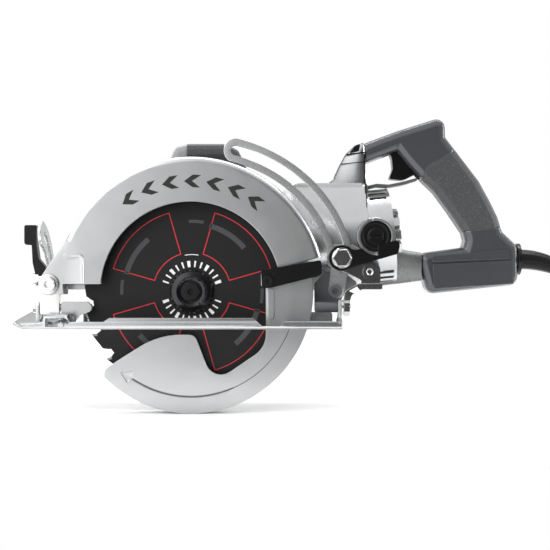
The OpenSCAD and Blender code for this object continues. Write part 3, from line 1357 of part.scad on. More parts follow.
module hex_x(at, x0, x1, r) translate([x0, at.x, at.y]) rotate([0, 90, 0])
    cylinder(h = x1 - x0, r = r, $fn = 6);

upper_guard();
gear_housing();
arbor_cover();
oil_plug();
motor_housing();
motor_end_bell();
field_stator();
field_coils();
brush_caps();
brush_holders();
carbon_brushes();
armature_bearings();
arbor_bearings();
rear_handle_left();
rear_handle_right();
rear_grip_cover();
trigger_guard_bar();
switch_unit();
trigger_pin();
cord_clamp();
cord_collar();
cord_boot();
front_handle();
front_grip_cover();
handle_screws();
cover_screws();
depth_bolt();
stop_plate();
stop_plate_screw();
guard_retainer();
guard_spring();
arbor_shaft();
worm_wheel();
inner_washer();
blade();
outer_washer();
blade_bolt();
armature_shaft();
armature_core();
commutator();
cooling_fan();
worm();
lower_guard();
guard_lever();
guard_lever_screws();
trigger();
depth_lever();
depth_lever_nut();
front_tilt_bracket();
depth_pivot_bolt();
rear_tilt_bracket();
depth_bracket();
foot_plate();
bevel_quadrant();
bevel_pivot_bolts();
bevel_lever();
rear_bevel_lever();
cord_lead();
cord_coil();
plug();
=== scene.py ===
"""A worm drive circular saw, dressed over its CAD frame and set in a plain studio."""

import json
import logging
import math
from dataclasses import dataclass, field
from enum import Enum
from typing import Any, Callable, Iterable, Sequence

import bmesh
import bpy
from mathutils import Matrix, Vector

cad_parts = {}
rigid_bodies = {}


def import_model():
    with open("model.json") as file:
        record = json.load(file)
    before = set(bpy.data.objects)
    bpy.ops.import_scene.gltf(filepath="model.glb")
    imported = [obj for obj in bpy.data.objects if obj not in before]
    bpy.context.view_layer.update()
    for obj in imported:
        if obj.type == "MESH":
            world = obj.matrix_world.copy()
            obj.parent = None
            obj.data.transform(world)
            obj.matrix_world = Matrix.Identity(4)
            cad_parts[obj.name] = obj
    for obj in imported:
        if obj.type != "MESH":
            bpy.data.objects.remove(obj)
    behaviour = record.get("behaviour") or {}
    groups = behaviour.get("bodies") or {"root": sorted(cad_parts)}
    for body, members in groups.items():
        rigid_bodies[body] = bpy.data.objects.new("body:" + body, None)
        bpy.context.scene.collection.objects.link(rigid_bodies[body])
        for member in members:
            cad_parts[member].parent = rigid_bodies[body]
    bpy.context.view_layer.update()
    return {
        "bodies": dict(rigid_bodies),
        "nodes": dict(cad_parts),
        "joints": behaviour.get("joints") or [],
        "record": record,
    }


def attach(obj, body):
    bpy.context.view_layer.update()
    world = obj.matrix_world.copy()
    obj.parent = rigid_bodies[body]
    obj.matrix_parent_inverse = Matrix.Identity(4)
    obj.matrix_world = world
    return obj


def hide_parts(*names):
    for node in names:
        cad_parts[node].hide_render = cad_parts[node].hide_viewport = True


LOG = logging.getLogger("saw")
MM = 0.001
# Edges sharper than EDGE_DEG are softened, and faces that meet at less than SMOOTH_DEG shade as one
EDGE_DEG = 38
SMOOTH_DEG = 32
# How far a print stands proud of its face and reaches under it, in mm
PROUD = 0.04
SUNK = 0.2
Point = tuple[float, float]


def rgba(code: str) -> tuple[float, float, float, float]:
    """The linear colour of an sRGB hex code such as "#a0b0c0"."""
    values = [int(code[i : i + 2], 16) / 255 for i in (1, 3, 5)]
    linear = [v / 12.92 if v <= 0.04045 else ((v + 0.055) / 1.055) ** 2.4 for v in values]
    return (linear[0], linear[1], linear[2], 1.0)


def per_metre(size_mm: float) -> float:
    """The texture scale at which one feature is size_mm across in Object coordinates."""
    return 1000.0 / size_mm


# Materials

# Size of the patches where handling changes the gloss, and of the broad patches of colour
HANDLED_MM = 18.0
BROAD_MM = 22.0
# How much lighter or darker those patches of colour are
SPREAD = 0.012


def add(tree: Any, kind: str, inputs: dict[str | int, Any] | None = None, **settings: Any) -> Any:
    """Adds a shader node with its settings, values and links.

    Args:
        tree: The material's node tree.
        kind: The node's type name.
        inputs: Values or source sockets by input name or number.
        **settings: Attributes of the node.

    Returns:
        The new node.
    """
    node = tree.nodes.new(kind)
    for key, value in settings.items():
        setattr(node, key, value)
    for key, value in (inputs or {}).items():
        if isinstance(value, bpy.types.NodeSocket):
            tree.links.new(value, node.inputs[key])
        else:
            node.inputs[key].default_value = value
    return node


class Pattern(Enum):
    """How a surface was made, which sets its small relief."""

    CAST = "cast"
    BRUSHED = "brushed"
    MOULDED = "moulded"
    SPECKLED = "speckled"
    COATED = "coated"
    PLATED = "plated"


@dataclass(frozen=True)
class Finish:
    """A finish: its colour, its gloss and the way that it was made."""

    name: str
    colour: str
    metal: float
    rough: float
    pattern: Pattern
    second: str = "#ffffff"
    grain_mm: float = 1.0
    relief_mm: float = 0.03
    coat: float = 0.0
    gleam: float = 0.5

    def build(self) -> bpy.types.Material:
        """Makes the procedural material."""
        material = bpy.data.materials.get(self.name)
        if material:
            return material
        material = bpy.data.materials.new(self.name)
        material.use_nodes = True
        tree = material.node_tree
        tree.nodes.clear()
        out = add(tree, "ShaderNodeOutputMaterial")
        place = add(tree, "ShaderNodeTexCoord").outputs["Object"]
        shader = add(
            tree,
            "ShaderNodeBsdfPrincipled",
            {
                "Metallic": self.metal,
                "Coat Weight": self.coat,
                "Coat Roughness": 0.12,
                "Specular IOR Level": self.gleam,
            },
        )
        colour, height = self._surface(tree, place)
        tree.links.new(colour, shader.inputs["Base Color"])
        tree.links.new(self._roughness(tree, place), shader.inputs["Roughness"])
        bump = add(
            tree,
            "ShaderNodeBump",
            {"Strength": 1.0, "Distance": self.relief_mm * MM, "Height": height},
        )
        tree.links.new(bump.outputs["Normal"], shader.inputs["Normal"])
        tree.links.new(shader.outputs["BSDF"], out.inputs["Surface"])
        return material

    def _noise(self, tree: Any, place: Any, size_mm: float, detail: float = 3.0) -> Any:
        """A noise of that feature size in the object's own coordinates."""
        return add(
            tree,
            "ShaderNodeTexNoise",
            {"Vector": place, "Scale": per_metre(size_mm), "Detail": detail},
        ).outputs["Fac"]

    def _mix(self, tree: Any, factor: Any, low: str, high: str) -> Any:
        """A colour between two codes by a factor socket."""
        ramp = add(tree, "ShaderNodeMix", {0: factor}, data_type="RGBA")
        ramp.inputs[6].default_value = rgba(low)
        ramp.inputs[7].default_value = rgba(high)
        return ramp.outputs[2]

    def _range(self, tree: Any, value: Any, a: float, b: float, low: float, high: float) -> Any:
        """Maps a value from a..b to low..high."""
        node = add(tree, "ShaderNodeMapRange", {"Value": value, 1: a, 2: b, 3: low, 4: high})
        return node.outputs["Result"]

    def _shade(self, amount: float) -> str:
        """The colour's code, lighter or darker by an amount."""
        parts = [int(self.colour[i : i + 2], 16) for i in (1, 3, 5)]
        return "#" + "".join(f"{max(0, min(255, round(p * (1 + amount)))):02x}" for p in parts)

    def _roughness(self, tree: Any, place: Any) -> Any:
        """Roughness that wavers a little over the surface, as handled surfaces do."""
        noise = self._noise(tree, place, HANDLED_MM, 2.0)
        low, high = self.rough * 0.95, min(1.0, self.rough * 1.05)
        return self._range(tree, noise, 0.3, 0.7, low, high)

    def _surface(self, tree: Any, place: Any) -> tuple[Any, Any]:
        """The colour and the height of the small relief for the pattern."""
        grain = self._noise(tree, place, self.grain_mm)
        if self.pattern is Pattern.BRUSHED:
            stretched = add(
                tree,
                "ShaderNodeMapping",
                {"Vector": place, "Scale": (0.02, 1.0, 1.0)},
            ).outputs["Vector"]
            grain = self._noise(tree, stretched, self.grain_mm, 2.0)
        if self.pattern is Pattern.SPECKLED:
            cells = add(
                tree,
                "ShaderNodeTexVoronoi",
                {"Vector": place, "Scale": per_metre(self.grain_mm)},
            )
            spots = self._range(tree, cells.outputs["Distance"], 0.16, 0.27, 1.0, 0.0)
            return self._mix(tree, spots, self.colour, self.second), spots
        broad = self._noise(tree, place, BROAD_MM, 2.0)
        level = self._range(tree, broad, 0.35, 0.65, 0.0, 1.0)
        return self._mix(tree, level, self._shade(-SPREAD), self._shade(SPREAD)), grain


GUARD_CAST = Finish(
    "cast_magnesium_satin_lacquer", "#bdbebf", 0.95, 0.29, Pattern.CAST,
    grain_mm=0.8, relief_mm=0.004,
)
CASE_CAST = Finish(
    "die_cast_magnesium_painted_silver", "#b8b9ba", 0.9, 0.28, Pattern.CAST,
    grain_mm=0.8, relief_mm=0.004,
)
BELL_CAST = Finish(
    "die_cast_aluminium_bare", "#b9babb", 0.92, 0.28, Pattern.CAST,
    grain_mm=0.8, relief_mm=0.004,
)
FOOT_STEEL = Finish(
    "stamped_aluminium_polished", "#b6b7b8", 0.95, 0.22, Pattern.PLATED,
    grain_mm=0.6, relief_mm=0.001,
)
SATIN_PLATE = Finish(
    "pressed_steel_satin_zinc", "#cdcecf", 0.9, 0.27, Pattern.BRUSHED,
    grain_mm=0.5, relief_mm=0.002,
)
BRIGHT = Finish(
    "turned_steel_bright_zinc", "#d9d9d8", 0.97, 0.14, Pattern.PLATED,
    grain_mm=0.6, relief_mm=0.001,
)
BLACK_STEEL = Finish(
    "steel_black_oxide", "#1d1d1e", 0.7, 0.38, Pattern.COATED,
    grain_mm=0.6, relief_mm=0.01,
)
BLADE_COAT = Finish(
    "steel_plate_matt_black_coating", "#0e0e0f", 0.0, 0.46, Pattern.COATED,
    grain_mm=0.5, relief_mm=0.002, gleam=0.3,
)
WASHER = Finish(
    "steel_washer_gloss_black", "#232326", 0.65, 0.2, Pattern.COATED,
    grain_mm=0.8, relief_mm=0.005, coat=0.4,
)
HANDLE = Finish(
    "glass_filled_nylon_moulded_grey", "#505154", 0.45, 0.24, Pattern.MOULDED,
    grain_mm=0.5, relief_mm=0.003,
)
FRONT = Finish(
    "glass_filled_nylon_moulded_light", "#8d8f91", 0.0, 0.44, Pattern.MOULDED,
    grain_mm=0.5, relief_mm=0.02,
)
RUBBER = Finish(
    "overmoulded_rubber_pebbled", "#3e3f41", 0.1, 0.45, Pattern.SPECKLED,
    second="#5a5b5e", grain_mm=1.6, relief_mm=0.08,
)
BLACK_PLASTIC = Finish(
    "moulded_black_nylon", "#0c0c0d", 0.0, 0.3, Pattern.MOULDED,
    grain_mm=0.6, relief_mm=0.003, gleam=0.3,
)
LEVER = Finish(
    "cast_lever_black_powder_coat", "#070708", 0.0, 0.32, Pattern.COATED,
    grain_mm=0.6, relief_mm=0.003, gleam=0.25,
)
GREY_BAR = Finish(
    "steel_bracket_grey_paint", "#5a5c5f", 0.35, 0.45, Pattern.COATED,
    grain_mm=0.7, relief_mm=0.02,
)
CORD_RUBBER = Finish(
    "extruded_cord_rubber_black", "#070708", 0.0, 0.42, Pattern.MOULDED,
    grain_mm=0.6, relief_mm=0.004, gleam=0.22,
)
IRON = Finish("stamped_laminations_dark", "#55575a", 0.6, 0.5, Pattern.BRUSHED, grain_mm=0.5)
COPPER = Finish("wound_copper_enamelled", "#b4683a", 0.9, 0.3, Pattern.BRUSHED, grain_mm=0.6)
BRASS = Finish("turned_brass", "#c6a04e", 0.95, 0.28, Pattern.PLATED, grain_mm=0.6, relief_mm=0.005)
BRONZE = Finish("hobbed_bronze", "#a87838", 0.9, 0.34, Pattern.PLATED, grain_mm=0.6, relief_mm=0.01)
CARBON = Finish("pressed_carbon", "#1c1c1d", 0.1, 0.6, Pattern.CAST, grain_mm=0.4)
CARBIDE = Finish(
    "brazed_carbide_ground", "#8c8d8f", 0.9, 0.3, Pattern.PLATED,
    grain_mm=0.4, relief_mm=0.005,
)
GREY_FILL = Finish(
    "laser_cut_filled_grey", "#3a3b3d", 0.0, 0.6, Pattern.COATED,
    grain_mm=0.5, relief_mm=0.01,
)
RED_INK = Finish(
    "screen_print_red", "#c8202a", 0.0, 0.5, Pattern.COATED,
    grain_mm=0.5, relief_mm=0.004,
)
WHITE_INK = Finish(
    "screen_print_white", "#ececea", 0.0, 0.5, Pattern.COATED,
    grain_mm=0.5, relief_mm=0.004,
)
BLACK_INK = Finish(
    "screen_print_black", "#141414", 0.0, 0.42, Pattern.COATED,
    grain_mm=0.5, relief_mm=0.004,
)
# Painted shade: a dark grey laid in the lower guard's groove and along its crease, where the groove's
# shade falls
GROOVE_SHADE = Finish(
    "shadowed_groove_dark", "#5e5f61", 0.3, 0.6, Pattern.COATED,
    grain_mm=0.5, relief_mm=0.004,
)

FLOOR = Finish(
    "studio_floor_matt", "#f8f8f8", 0.0, 0.9, Pattern.COATED,
    grain_mm=4.0, relief_mm=0.001,
)

SLOTS: dict[str, Finish] = {
    "cast_guard": GUARD_CAST,
    "cast_case": CASE_CAST,
    "cast_bell": BELL_CAST,
    "black_steel": BLACK_STEEL,
    "lamination": IRON,
    "copper": COPPER,
    "black_plastic": BLACK_PLASTIC,
    "brass": BRASS,
    "carbon": CARBON,
    "bearing_steel": BRIGHT,
    "handle_plastic": HANDLE,
    "grip_rubber": RUBBER,
    "grey_bar": GREY_BAR,
    "bright_steel": BRIGHT,
    "cord_rubber": CORD_RUBBER,
    "front_plastic": FRONT,
    "bronze": BRONZE,
    "blade_black": BLADE_COAT,
    "washer_black": WASHER,
    "black_lever": LEVER,
    "trigger_plastic": LEVER,
    "satin_plate": SATIN_PLATE,
    "foot_steel": FOOT_STEEL,
}


# Meshes


def polar(radius: float, degrees: float) -> Point:
    """The point at that radius and angle."""
    return (radius * math.cos(math.radians(degrees)), radius * math.sin(math.radians(degrees)))


@dataclass
class Saw:
    """The frame, and what every sub-assembly needs of it."""

    frame: dict[str, Any]
    made: list[str] = field(default_factory=list)

    def __post_init__(self) -> None:
        """Looks up each node's body and material slot."""
        record = self.frame["record"]
        behaviour = record["behaviour"]
        self.body_of = {n: b for b, nodes in behaviour["bodies"].items() for n in nodes}
        self.slot_of = {s["node"]: s["material_slot"] for s in record["subparts"]}

    def show(
        self,
        name: str,
        mesh: bpy.types.Mesh,
        finish: Finish,
        body: str,
        stands_for: Sequence[str] = (),
    ) -> bpy.types.Object:
        """Puts a finished mesh into the scene on its body.

        Args:
            name: The piece's name.
            mesh: Its mesh, in place in metres.
            finish: Its finish.
            body: The CAD body that it rides on.
            stands_for: CAD nodes that it replaces.

        Returns:
            The new object.
        """
        piece = bpy.data.objects.new(name, mesh)
        bpy.context.scene.collection.objects.link(piece)
        mesh.materials.clear()
        mesh.materials.append(finish.build())
        if stands_for:
            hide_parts(*stands_for)
        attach(piece, body)
        self.made.append(name)
        LOG.info("%s: %d faces on %s", name, len(mesh.polygons), body)
        return piece

    def dress(
        self,
        node: str,
        bevel_mm: float = 0.4,
        finish: Finish | None = None,
        change: Callable[[bpy.types.Mesh], bpy.types.Mesh] | None = None,
    ) -> bpy.types.Object:
        """Stands a copy with softened edges and its finish in a CAD node's place.

        Args:
            node: The CAD node's name.
            bevel_mm: Width of the softened edges; 0 leaves them sharp.
            finish: A finish other than its slot's.
            change: A further change to its mesh.

        Returns:
            The new piece.
        """
        mesh = softened(self.frame["nodes"][node].data, bevel_mm * MM)
        if change:
            mesh = change(mesh)
        mesh.name = f"{node}_dressed"
        slot = self.slot_of[node]
        return self.show(
            f"{node}_dressed", mesh, finish or SLOTS[slot], self.body_of[node], [node]
        )

    def remould(
        self, node: str, voxel_mm: float, rounds: int, finish: Finish | None = None
    ) -> bpy.types.Object:
        """Stands a smooth moulded copy in a CAD node's place.

        Args:
            node: The CAD node's name.
            voxel_mm: Size of the remesh's cells.
            rounds: Rounds of smoothing.
            finish: A finish other than its slot's.

        Returns:
            The new piece.
        """
        mesh = remeshed(softened(self.frame["nodes"][node].data, 0.0), voxel_mm * MM, rounds)
        mesh.name = f"{node}_moulded"
        slot = self.slot_of[node]
        return self.show(
            f"{node}_moulded", mesh, finish or SLOTS[slot], self.body_of[node], [node]
        )

    def paint(self, node: str) -> None:
        """Gives a CAD node that stays as it is the finish of its slot."""
        data = self.frame["nodes"][node].data
        material = SLOTS[self.slot_of[node]].build()
        if not data.materials:
            data.materials.append(material)
        for i in range(len(data.materials)):
            data.materials[i] = material


def softened(source: bpy.types.Mesh, bevel: float) -> bpy.types.Mesh:
    """A copy of a CAD mesh with its corners merged and its sharp edges softened.

    Args:
        source: The CAD mesh, which stays as it is.
        bevel: Width of the softened edges in metres; 0 leaves them sharp.

    Returns:
        The new mesh, shaded smooth between its sharp edges.
    """
    bm = bmesh.new()
    bm.from_mesh(source)
    bmesh.ops.remove_doubles(bm, verts=bm.verts[:], dist=1e-6)
    bmesh.ops.dissolve_limit(
        bm,
        angle_limit=math.radians(0.6),
        use_dissolve_boundaries=False,
        verts=bm.verts[:],
        edges=bm.edges[:],
        delimit={"NORMAL"},
    )
    sharp = [e for e in bm.edges if e.is_manifold and e.calc_face_angle(0.0) > math.radians(EDGE_DEG)]
    crowded = {v for e in bm.edges if e.calc_length() < 1.15 * bevel for v in e.verts}
    sharp = [e for e in sharp if not crowded.intersection(e.verts)]
    bmesh.ops.connect_verts_concave(bm, faces=[f for f in bm.faces if len(f.verts) > 4])
    if bevel > 0 and sharp:
        bmesh.ops.bevel(
            bm,
            geom=sharp,
            offset=bevel,
            offset_type="OFFSET",
            segments=2,
            profile=0.5,
            affect="EDGES",
            clamp_overlap=False,
            material=-1,
        )
    bmesh.ops.recalc_face_normals(bm, faces=bm.faces[:])
    for face in bm.faces:
        face.smooth = True
    mesh = bpy.data.meshes.new("softened")
    bm.to_mesh(mesh)
    bm.free()
    mesh.set_sharp_from_angle(angle=math.radians(SMOOTH_DEG))
    return modified(mesh, weigh_normals)


def weigh_normals(holder: bpy.types.Object) -> None:
    """Lets large faces keep their own normals beside softened edges."""
    weigh = holder.modifiers.new("weigh", "WEIGHTED_NORMAL")
    weigh.keep_sharp = True
    weigh.weight = 80


def modified(mesh: bpy.types.Mesh, change: Callable[[bpy.types.Object], None]) -> bpy.types.Mesh:
    """The mesh that comes out of a holder's modifiers.

    Args:
        mesh: The mesh that goes in.
        change: Adds the modifiers to the holder.

    Returns:
        The new mesh.
    """
    holder = bpy.data.objects.new("holder", mesh)
    bpy.context.scene.collection.objects.link(holder)
    change(holder)
    graph = bpy.context.evaluated_depsgraph_get()
    result = bpy.data.meshes.new_from_object(holder.evaluated_get(graph), depsgraph=graph)
    bpy.data.objects.remove(holder)
    return result


def remeshed(mesh: bpy.types.Mesh, voxel: float, rounds: int) -> bpy.types.Mesh:
    """A copy of a closed mesh rebuilt in even cells and smoothed.

    Args:
        mesh: The mesh to rebuild.
        voxel: Cell size in metres.
        rounds: Rounds of smoothing.

    Returns:
        The new mesh.
    """

    def change(holder: bpy.types.Object) -> None:
        """Adds the remesh and the smoothing."""
        cells = holder.modifiers.new("cells", "REMESH")
        cells.mode = "VOXEL"
        cells.voxel_size = voxel
        cells.use_smooth_shade = True
        soften = holder.modifiers.new("soften", "SMOOTH")
        soften.factor = 0.5
        soften.iterations = rounds

    return modified(mesh, change)


def plate(
    outline: Sequence[Point], holes: Iterable[Sequence[Point]], y0: float, y1: float
) -> bmesh.types.BMesh:
    """A plate between two heights of Y, from an outline of X and Z in mm.

    Args:
        outline: The outer corners.
        holes: Corners of each hole.
        y0: The near face, in mm.
        y1: The far face, in mm.

    Returns:
        The plate as a bmesh in metres.
    """
    bm = bmesh.new()
    edges = []
    for loop in [outline, *holes]:
        corners = [bm.verts.new((x * MM, y0 * MM, z * MM)) for x, z in loop]
        edges += [bm.edges.new((corners[i - 1], corners[i])) for i in range(len(corners))]
    bmesh.ops.triangle_fill(bm, edges=edges, use_beauty=True, normal=(0, -1, 0))
    grown = bmesh.ops.extrude_face_region(bm, geom=bm.faces[:])
    moved = [v for v in grown["geom"] if isinstance(v, bmesh.types.BMVert)]
    bmesh.ops.translate(bm, verts=moved, vec=(0, (y1 - y0) * MM, 0))
    bmesh.ops.recalc_face_normals(bm, faces=bm.faces[:])
    return bm


def ring_part(r0: float, r1: float, a0: float, a1: float, step: float = 2.0) -> list[Point]:
    """The outline of a part of a ring between two radii and two angles."""
    n = max(2, round(abs(a1 - a0) / step))
    angles = [a0 + (a1 - a0) * i / n for i in range(n + 1)]
    return [polar(r1, a) for a in angles] + [polar(r0, a) for a in reversed(angles)]


def shifted(points: Sequence[Point], by: Point) -> list[Point]:
    """The points moved by an offset."""
    return [(x + by[0], z + by[1]) for x, z in points]


def joined(parts: Iterable[bmesh.types.BMesh], name: str) -> bpy.types.Mesh:
    """One mesh of several bmeshes, which are freed."""
    whole = bmesh.new()
    for part in parts:
        scrap = bpy.data.meshes.new("scrap")
        part.to_mesh(scrap)
        part.free()
        whole.from_mesh(scrap)
        bpy.data.meshes.remove(scrap)
    for face in whole.faces:
        face.smooth = True
    mesh = bpy.data.meshes.new(name)
    whole.to_mesh(mesh)
    whole.free()
    mesh.set_sharp_from_angle(angle=math.radians(SMOOTH_DEG))
    return mesh


def turned(
    at: Sequence[float], axis: Sequence[float], profile: Sequence[Point], sides: int = 64
) -> bmesh.types.BMesh:
    """A turned part.

    Args:
        at: The point of the axis that distances are counted from, in mm.
        axis: The axis.
        profile: Distances along the axis with their radii, in mm.
        sides: Corners of each ring.

    Returns:
        The part as a bmesh in metres.
    """
    way = Vector(axis).normalized()
    u = way.orthogonal().normalized()
    v = way.cross(u)
    bm = bmesh.new()
    rings = []
    for along, radius in profile:
        ring = []
        for i in range(sides if radius > 0 else 1):
            c, s = polar(radius, 360 * i / sides)
            ring.append(bm.verts.new((Vector(at) + way * along + u * c + v * s) * MM))
        rings.append(ring)
    for low, high in zip(rings, rings[1:]):
        for i in range(sides):
            near = [low[i % len(low)], low[(i + 1) % len(low)]]
            far = [high[(i + 1) % len(high)], high[i % len(high)]]
            bm.faces.new(list(dict.fromkeys(near + far)))
    bmesh.ops.recalc_face_normals(bm, faces=bm.faces[:])
    return bm


def lofted(sections: Sequence[Sequence[tuple[float, float, float]]]) -> bmesh.types.BMesh:
    """An open skin through rows of points in mm, its face towards the viewer."""
    bm = bmesh.new()
    rows = [[bm.verts.new([v * MM for v in point]) for point in section] for section in sections]
    for low, high in zip(rows, rows[1:]):
        for i in range(len(low) - 1):
            bm.faces.new((low[i], low[i + 1], high[i + 1], high[i]))
    bm.normal_update()
    if sum(f.normal.y * f.calc_area() for f in bm.faces) > 0:
        bmesh.ops.reverse_faces(bm, faces=bm.faces[:])
    return bm


def slanted(corners: Sequence[tuple[float, float, float]], back: float) -> bmesh.types.BMesh:
    """A panel whose near face has its own Y at each corner, up to a flat back, in mm."""
    bm = bmesh.new()
    near = [bm.verts.new((x * MM, y * MM, z * MM)) for x, y, z in corners]
    far = [bm.verts.new((x * MM, back * MM, z * MM)) for x, _, z in corners]
    bm.faces.new(near)
    bm.faces.new(far[::-1])
    for i in range(len(near)):
        bm.faces.new((near[i - 1], near[i], far[i], far[i - 1]))
    bmesh.ops.recalc_face_normals(bm, faces=bm.faces[:])
    return bm


# Sub-assemblies

ARBOR: Point = (134.0, 34.8)


@dataclass
class CordSet:
    """The cord, its strain relief and its plug."""

    diameter: float = 9.0
    exit_x: float = 461.606
    exit_z: float = 66.624
    y: float = 62.0
    boot_len: float = 50.0
    boot_bend: float = 90.0
    lead_bend: float = 50.0
    floor_bend: float = 40.0
    floor_run: float = 14.0
    floor_z: float = -81.2
    coil_r: float = 67.0
    pitch: float = 9.5
    turns: float = 6.5
    rings: int = 24
    layer: float = 9.5
    tail: float = 22.0

    def route(self) -> list[tuple[float, float, float]]:
        """The cord's centre line in mm, as part.scad has it."""
        turn = self.boot_len / self.boot_bend
        end_x = self.exit_x + self.boot_bend * math.sin(turn)
        end_z = self.exit_z - self.boot_bend * (1 - math.cos(turn))
        drop_x = end_x + self.lead_bend * (1 - math.sin(turn))
        drop_z = end_z - self.lead_bend * math.cos(turn)
        lay_z = self.floor_z + self.diameter / 2
        self.centre = (drop_x + self.floor_bend + self.floor_run, self.y - self.coil_r)
        points = []
        start = math.degrees(turn)
        for i in range(6):
            a = math.radians(start + (90 - start) * i / 5)
            points.append(
                (
                    drop_x - self.lead_bend * (1 - math.sin(a)),
                    self.y,
                    drop_z + self.lead_bend * math.cos(a),
                )
            )
        points.append((drop_x, self.y, lay_z + self.floor_bend))
        for i in range(1, 7):
            a = math.radians(15 * i)
            points.append(
                (
                    drop_x + self.floor_bend * (1 - math.cos(a)),
                    self.y,
                    lay_z + self.floor_bend * (1 - math.sin(a)),
                )
            )
        points.append((self.centre[0], self.y, lay_z))
        steps = round(self.turns * self.rings)
        points += [self.coil_point(i / self.rings, lay_z) for i in range(1, steps + 1)]
        x, y, z = points[-1]
        points.append((x - self.tail, y, z))
        return points

    def coil_point(self, t: float, lay_z: float) -> tuple[float, float, float]:
        """The coil's centre line after t turns."""
        r = self.coil_r - self.pitch * (t if t < self.turns / 2 else self.turns - t)
        climb = min(1.0, max(0.0, (t - self.turns / 2 + 0.25) / 0.5))
        a = math.radians(90 - 360 * t)
        return (
            self.centre[0] + r * math.cos(a),
            self.centre[1] + r * math.sin(a),
            lay_z + self.layer * (1 - math.cos(math.pi * climb)) / 2,
        )

    def build(self, saw: Saw) -> None:
        """Builds the cord and dresses the boot and the plug."""
        plug = saw.dress("plug", 0.5)
        points = self.route()
        curve = bpy.data.curves.new("cord", "CURVE")
        curve.dimensions = "3D"
        curve.bevel_depth = self.diameter / 2 * MM
        curve.bevel_resolution = 5
        spline = curve.splines.new("POLY")
        spline.points.add(len(points) - 1)
        for target, p in zip(spline.points, points):
            target.co = (p[0] * MM, p[1] * MM, p[2] * MM, 1.0)
        spline.use_smooth = True
        piece = bpy.data.objects.new("cord", curve)
        bpy.context.scene.collection.objects.link(piece)
        curve.materials.append(CORD_RUBBER.build())
        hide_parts("cord_lead", "cord_coil")
        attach(piece, "saw_body")
        saw.remould("cord_boot", 0.5, 4)
        saw.dress("cord_collar", 0.6)


@dataclass
class BladeSet:
    """The blade, its print and what clamps it."""

    radius: float = 104.8
    teeth: int = 24
    first: float = 158.0
    face: float = -0.9
    # A carbide tip's corners: distance from the radius, and degrees from the tooth's face
    tip: tuple[Point, ...] = ((-5.0, 0.9), (0.0, 0.0), (-0.5, 1.3), (-4.6, 2.2))
    tip_half: float = 0.97
    # Laser cuts of each quarter: middle and span in degrees, inner and outer radius
    cuts: tuple[tuple[float, float, float, float], ...] = (
        (57.4, 35.3, 62.8, 67.8),
        (86.5, 12.0, 66.0, 69.0),
    )
    sector_r: Point = (37.0, 79.0)
    sector_start: float = 16.0
    sector_span: float = 58.0
    sector_line: float = 0.85
    tick_r: Point = (23.6, 29.6)
    tick_middle: float = 26.5
    tick_halves: Point = (0.75, 1.4)
    ticks_of_arc: int = 12
    arc_starts: Point = (20.0, 200.0)
    arc_span: float = 140.0

    def build(self, saw: Saw) -> None:
        """Builds the blade with its tips, its laser cuts and its print."""
        saw.dress("blade", 0.12)
        saw.dress("outer_washer", 0.2)
        saw.dress("blade_bolt", 0.35)
        saw.dress("inner_washer", 0.3)
        saw.show("carbide_tips", self.tips(), CARBIDE, "blade_shaft")
        saw.show("laser_cuts", self.laser_cuts(), GREY_FILL, "blade_shaft")
        saw.show("red_print", self.outlines(), RED_INK, "blade_shaft")
        saw.show("white_print", self.ticks(), WHITE_INK, "blade_shaft")

    def tips(self) -> bpy.types.Mesh:
        """The carbide tips at the faces of the teeth."""
        parts = []
        for i in range(self.teeth):
            a = self.first + i * 360 / self.teeth
            outline = [polar(self.radius + out, a + turn) for out, turn in self.tip]
            parts.append(plate(shifted(outline, ARBOR), [], -self.tip_half, self.tip_half))
        return joined(parts, "carbide_tips")

    def printed(
        self, outline: Sequence[Point], holes: Sequence[Sequence[Point]] = ()
    ) -> bmesh.types.BMesh:
        """A thin print on the blade's near face, from an outline about the arbor."""
        moved = [shifted(hole, ARBOR) for hole in holes]
        return plate(shifted(outline, ARBOR), moved, self.face - PROUD, self.face + SUNK)

    def laser_cuts(self) -> bpy.types.Mesh:
        """Arc-shaped cuts through the plate, filled to damp it."""
        parts = []
        for i in range(4):
            for middle, span, r0, r1 in self.cuts:
                a = middle + 90 * i
                parts.append(self.printed(ring_part(r0, r1, a - span / 2, a + span / 2)))
        return joined(parts, "laser_cuts")

    def outlines(self) -> bpy.types.Mesh:
        """Thin outlines of four plain sectors."""
        parts = []
        (r0, r1), width, span = self.sector_r, self.sector_line, self.sector_span
        for i in range(4):
            a0 = self.sector_start + 90 * i
            far, near = math.degrees(width / r1), math.degrees(width / r0)
            hole = ring_part(r1 - width, r1 - width, a0 + far, a0 + span - far)
            hole = hole[: len(hole) // 2]
            inner = ring_part(r0 + width, r0 + width, a0 + near, a0 + span - near)
            hole += inner[len(inner) // 2 :]
            parts.append(self.printed(ring_part(r0, r1, a0, a0 + span), [hole]))
        return joined(parts, "outlines")

    def ticks(self) -> bpy.types.Mesh:
        """Two arcs of short bars about the washer and a short dash above them."""
        parts = [self.printed(ring_part(35.2, 35.9, 80, 101))]
        for start in self.arc_starts:
            for i in range(self.ticks_of_arc):
                a = start + i * self.arc_span / (self.ticks_of_arc - 1)
                half = math.degrees(self.tick_halves[0 if i % 3 else 1] / self.tick_middle)
                parts.append(self.printed(ring_part(*self.tick_r, a - half, a + half, half)))
        return joined(parts, "ticks")


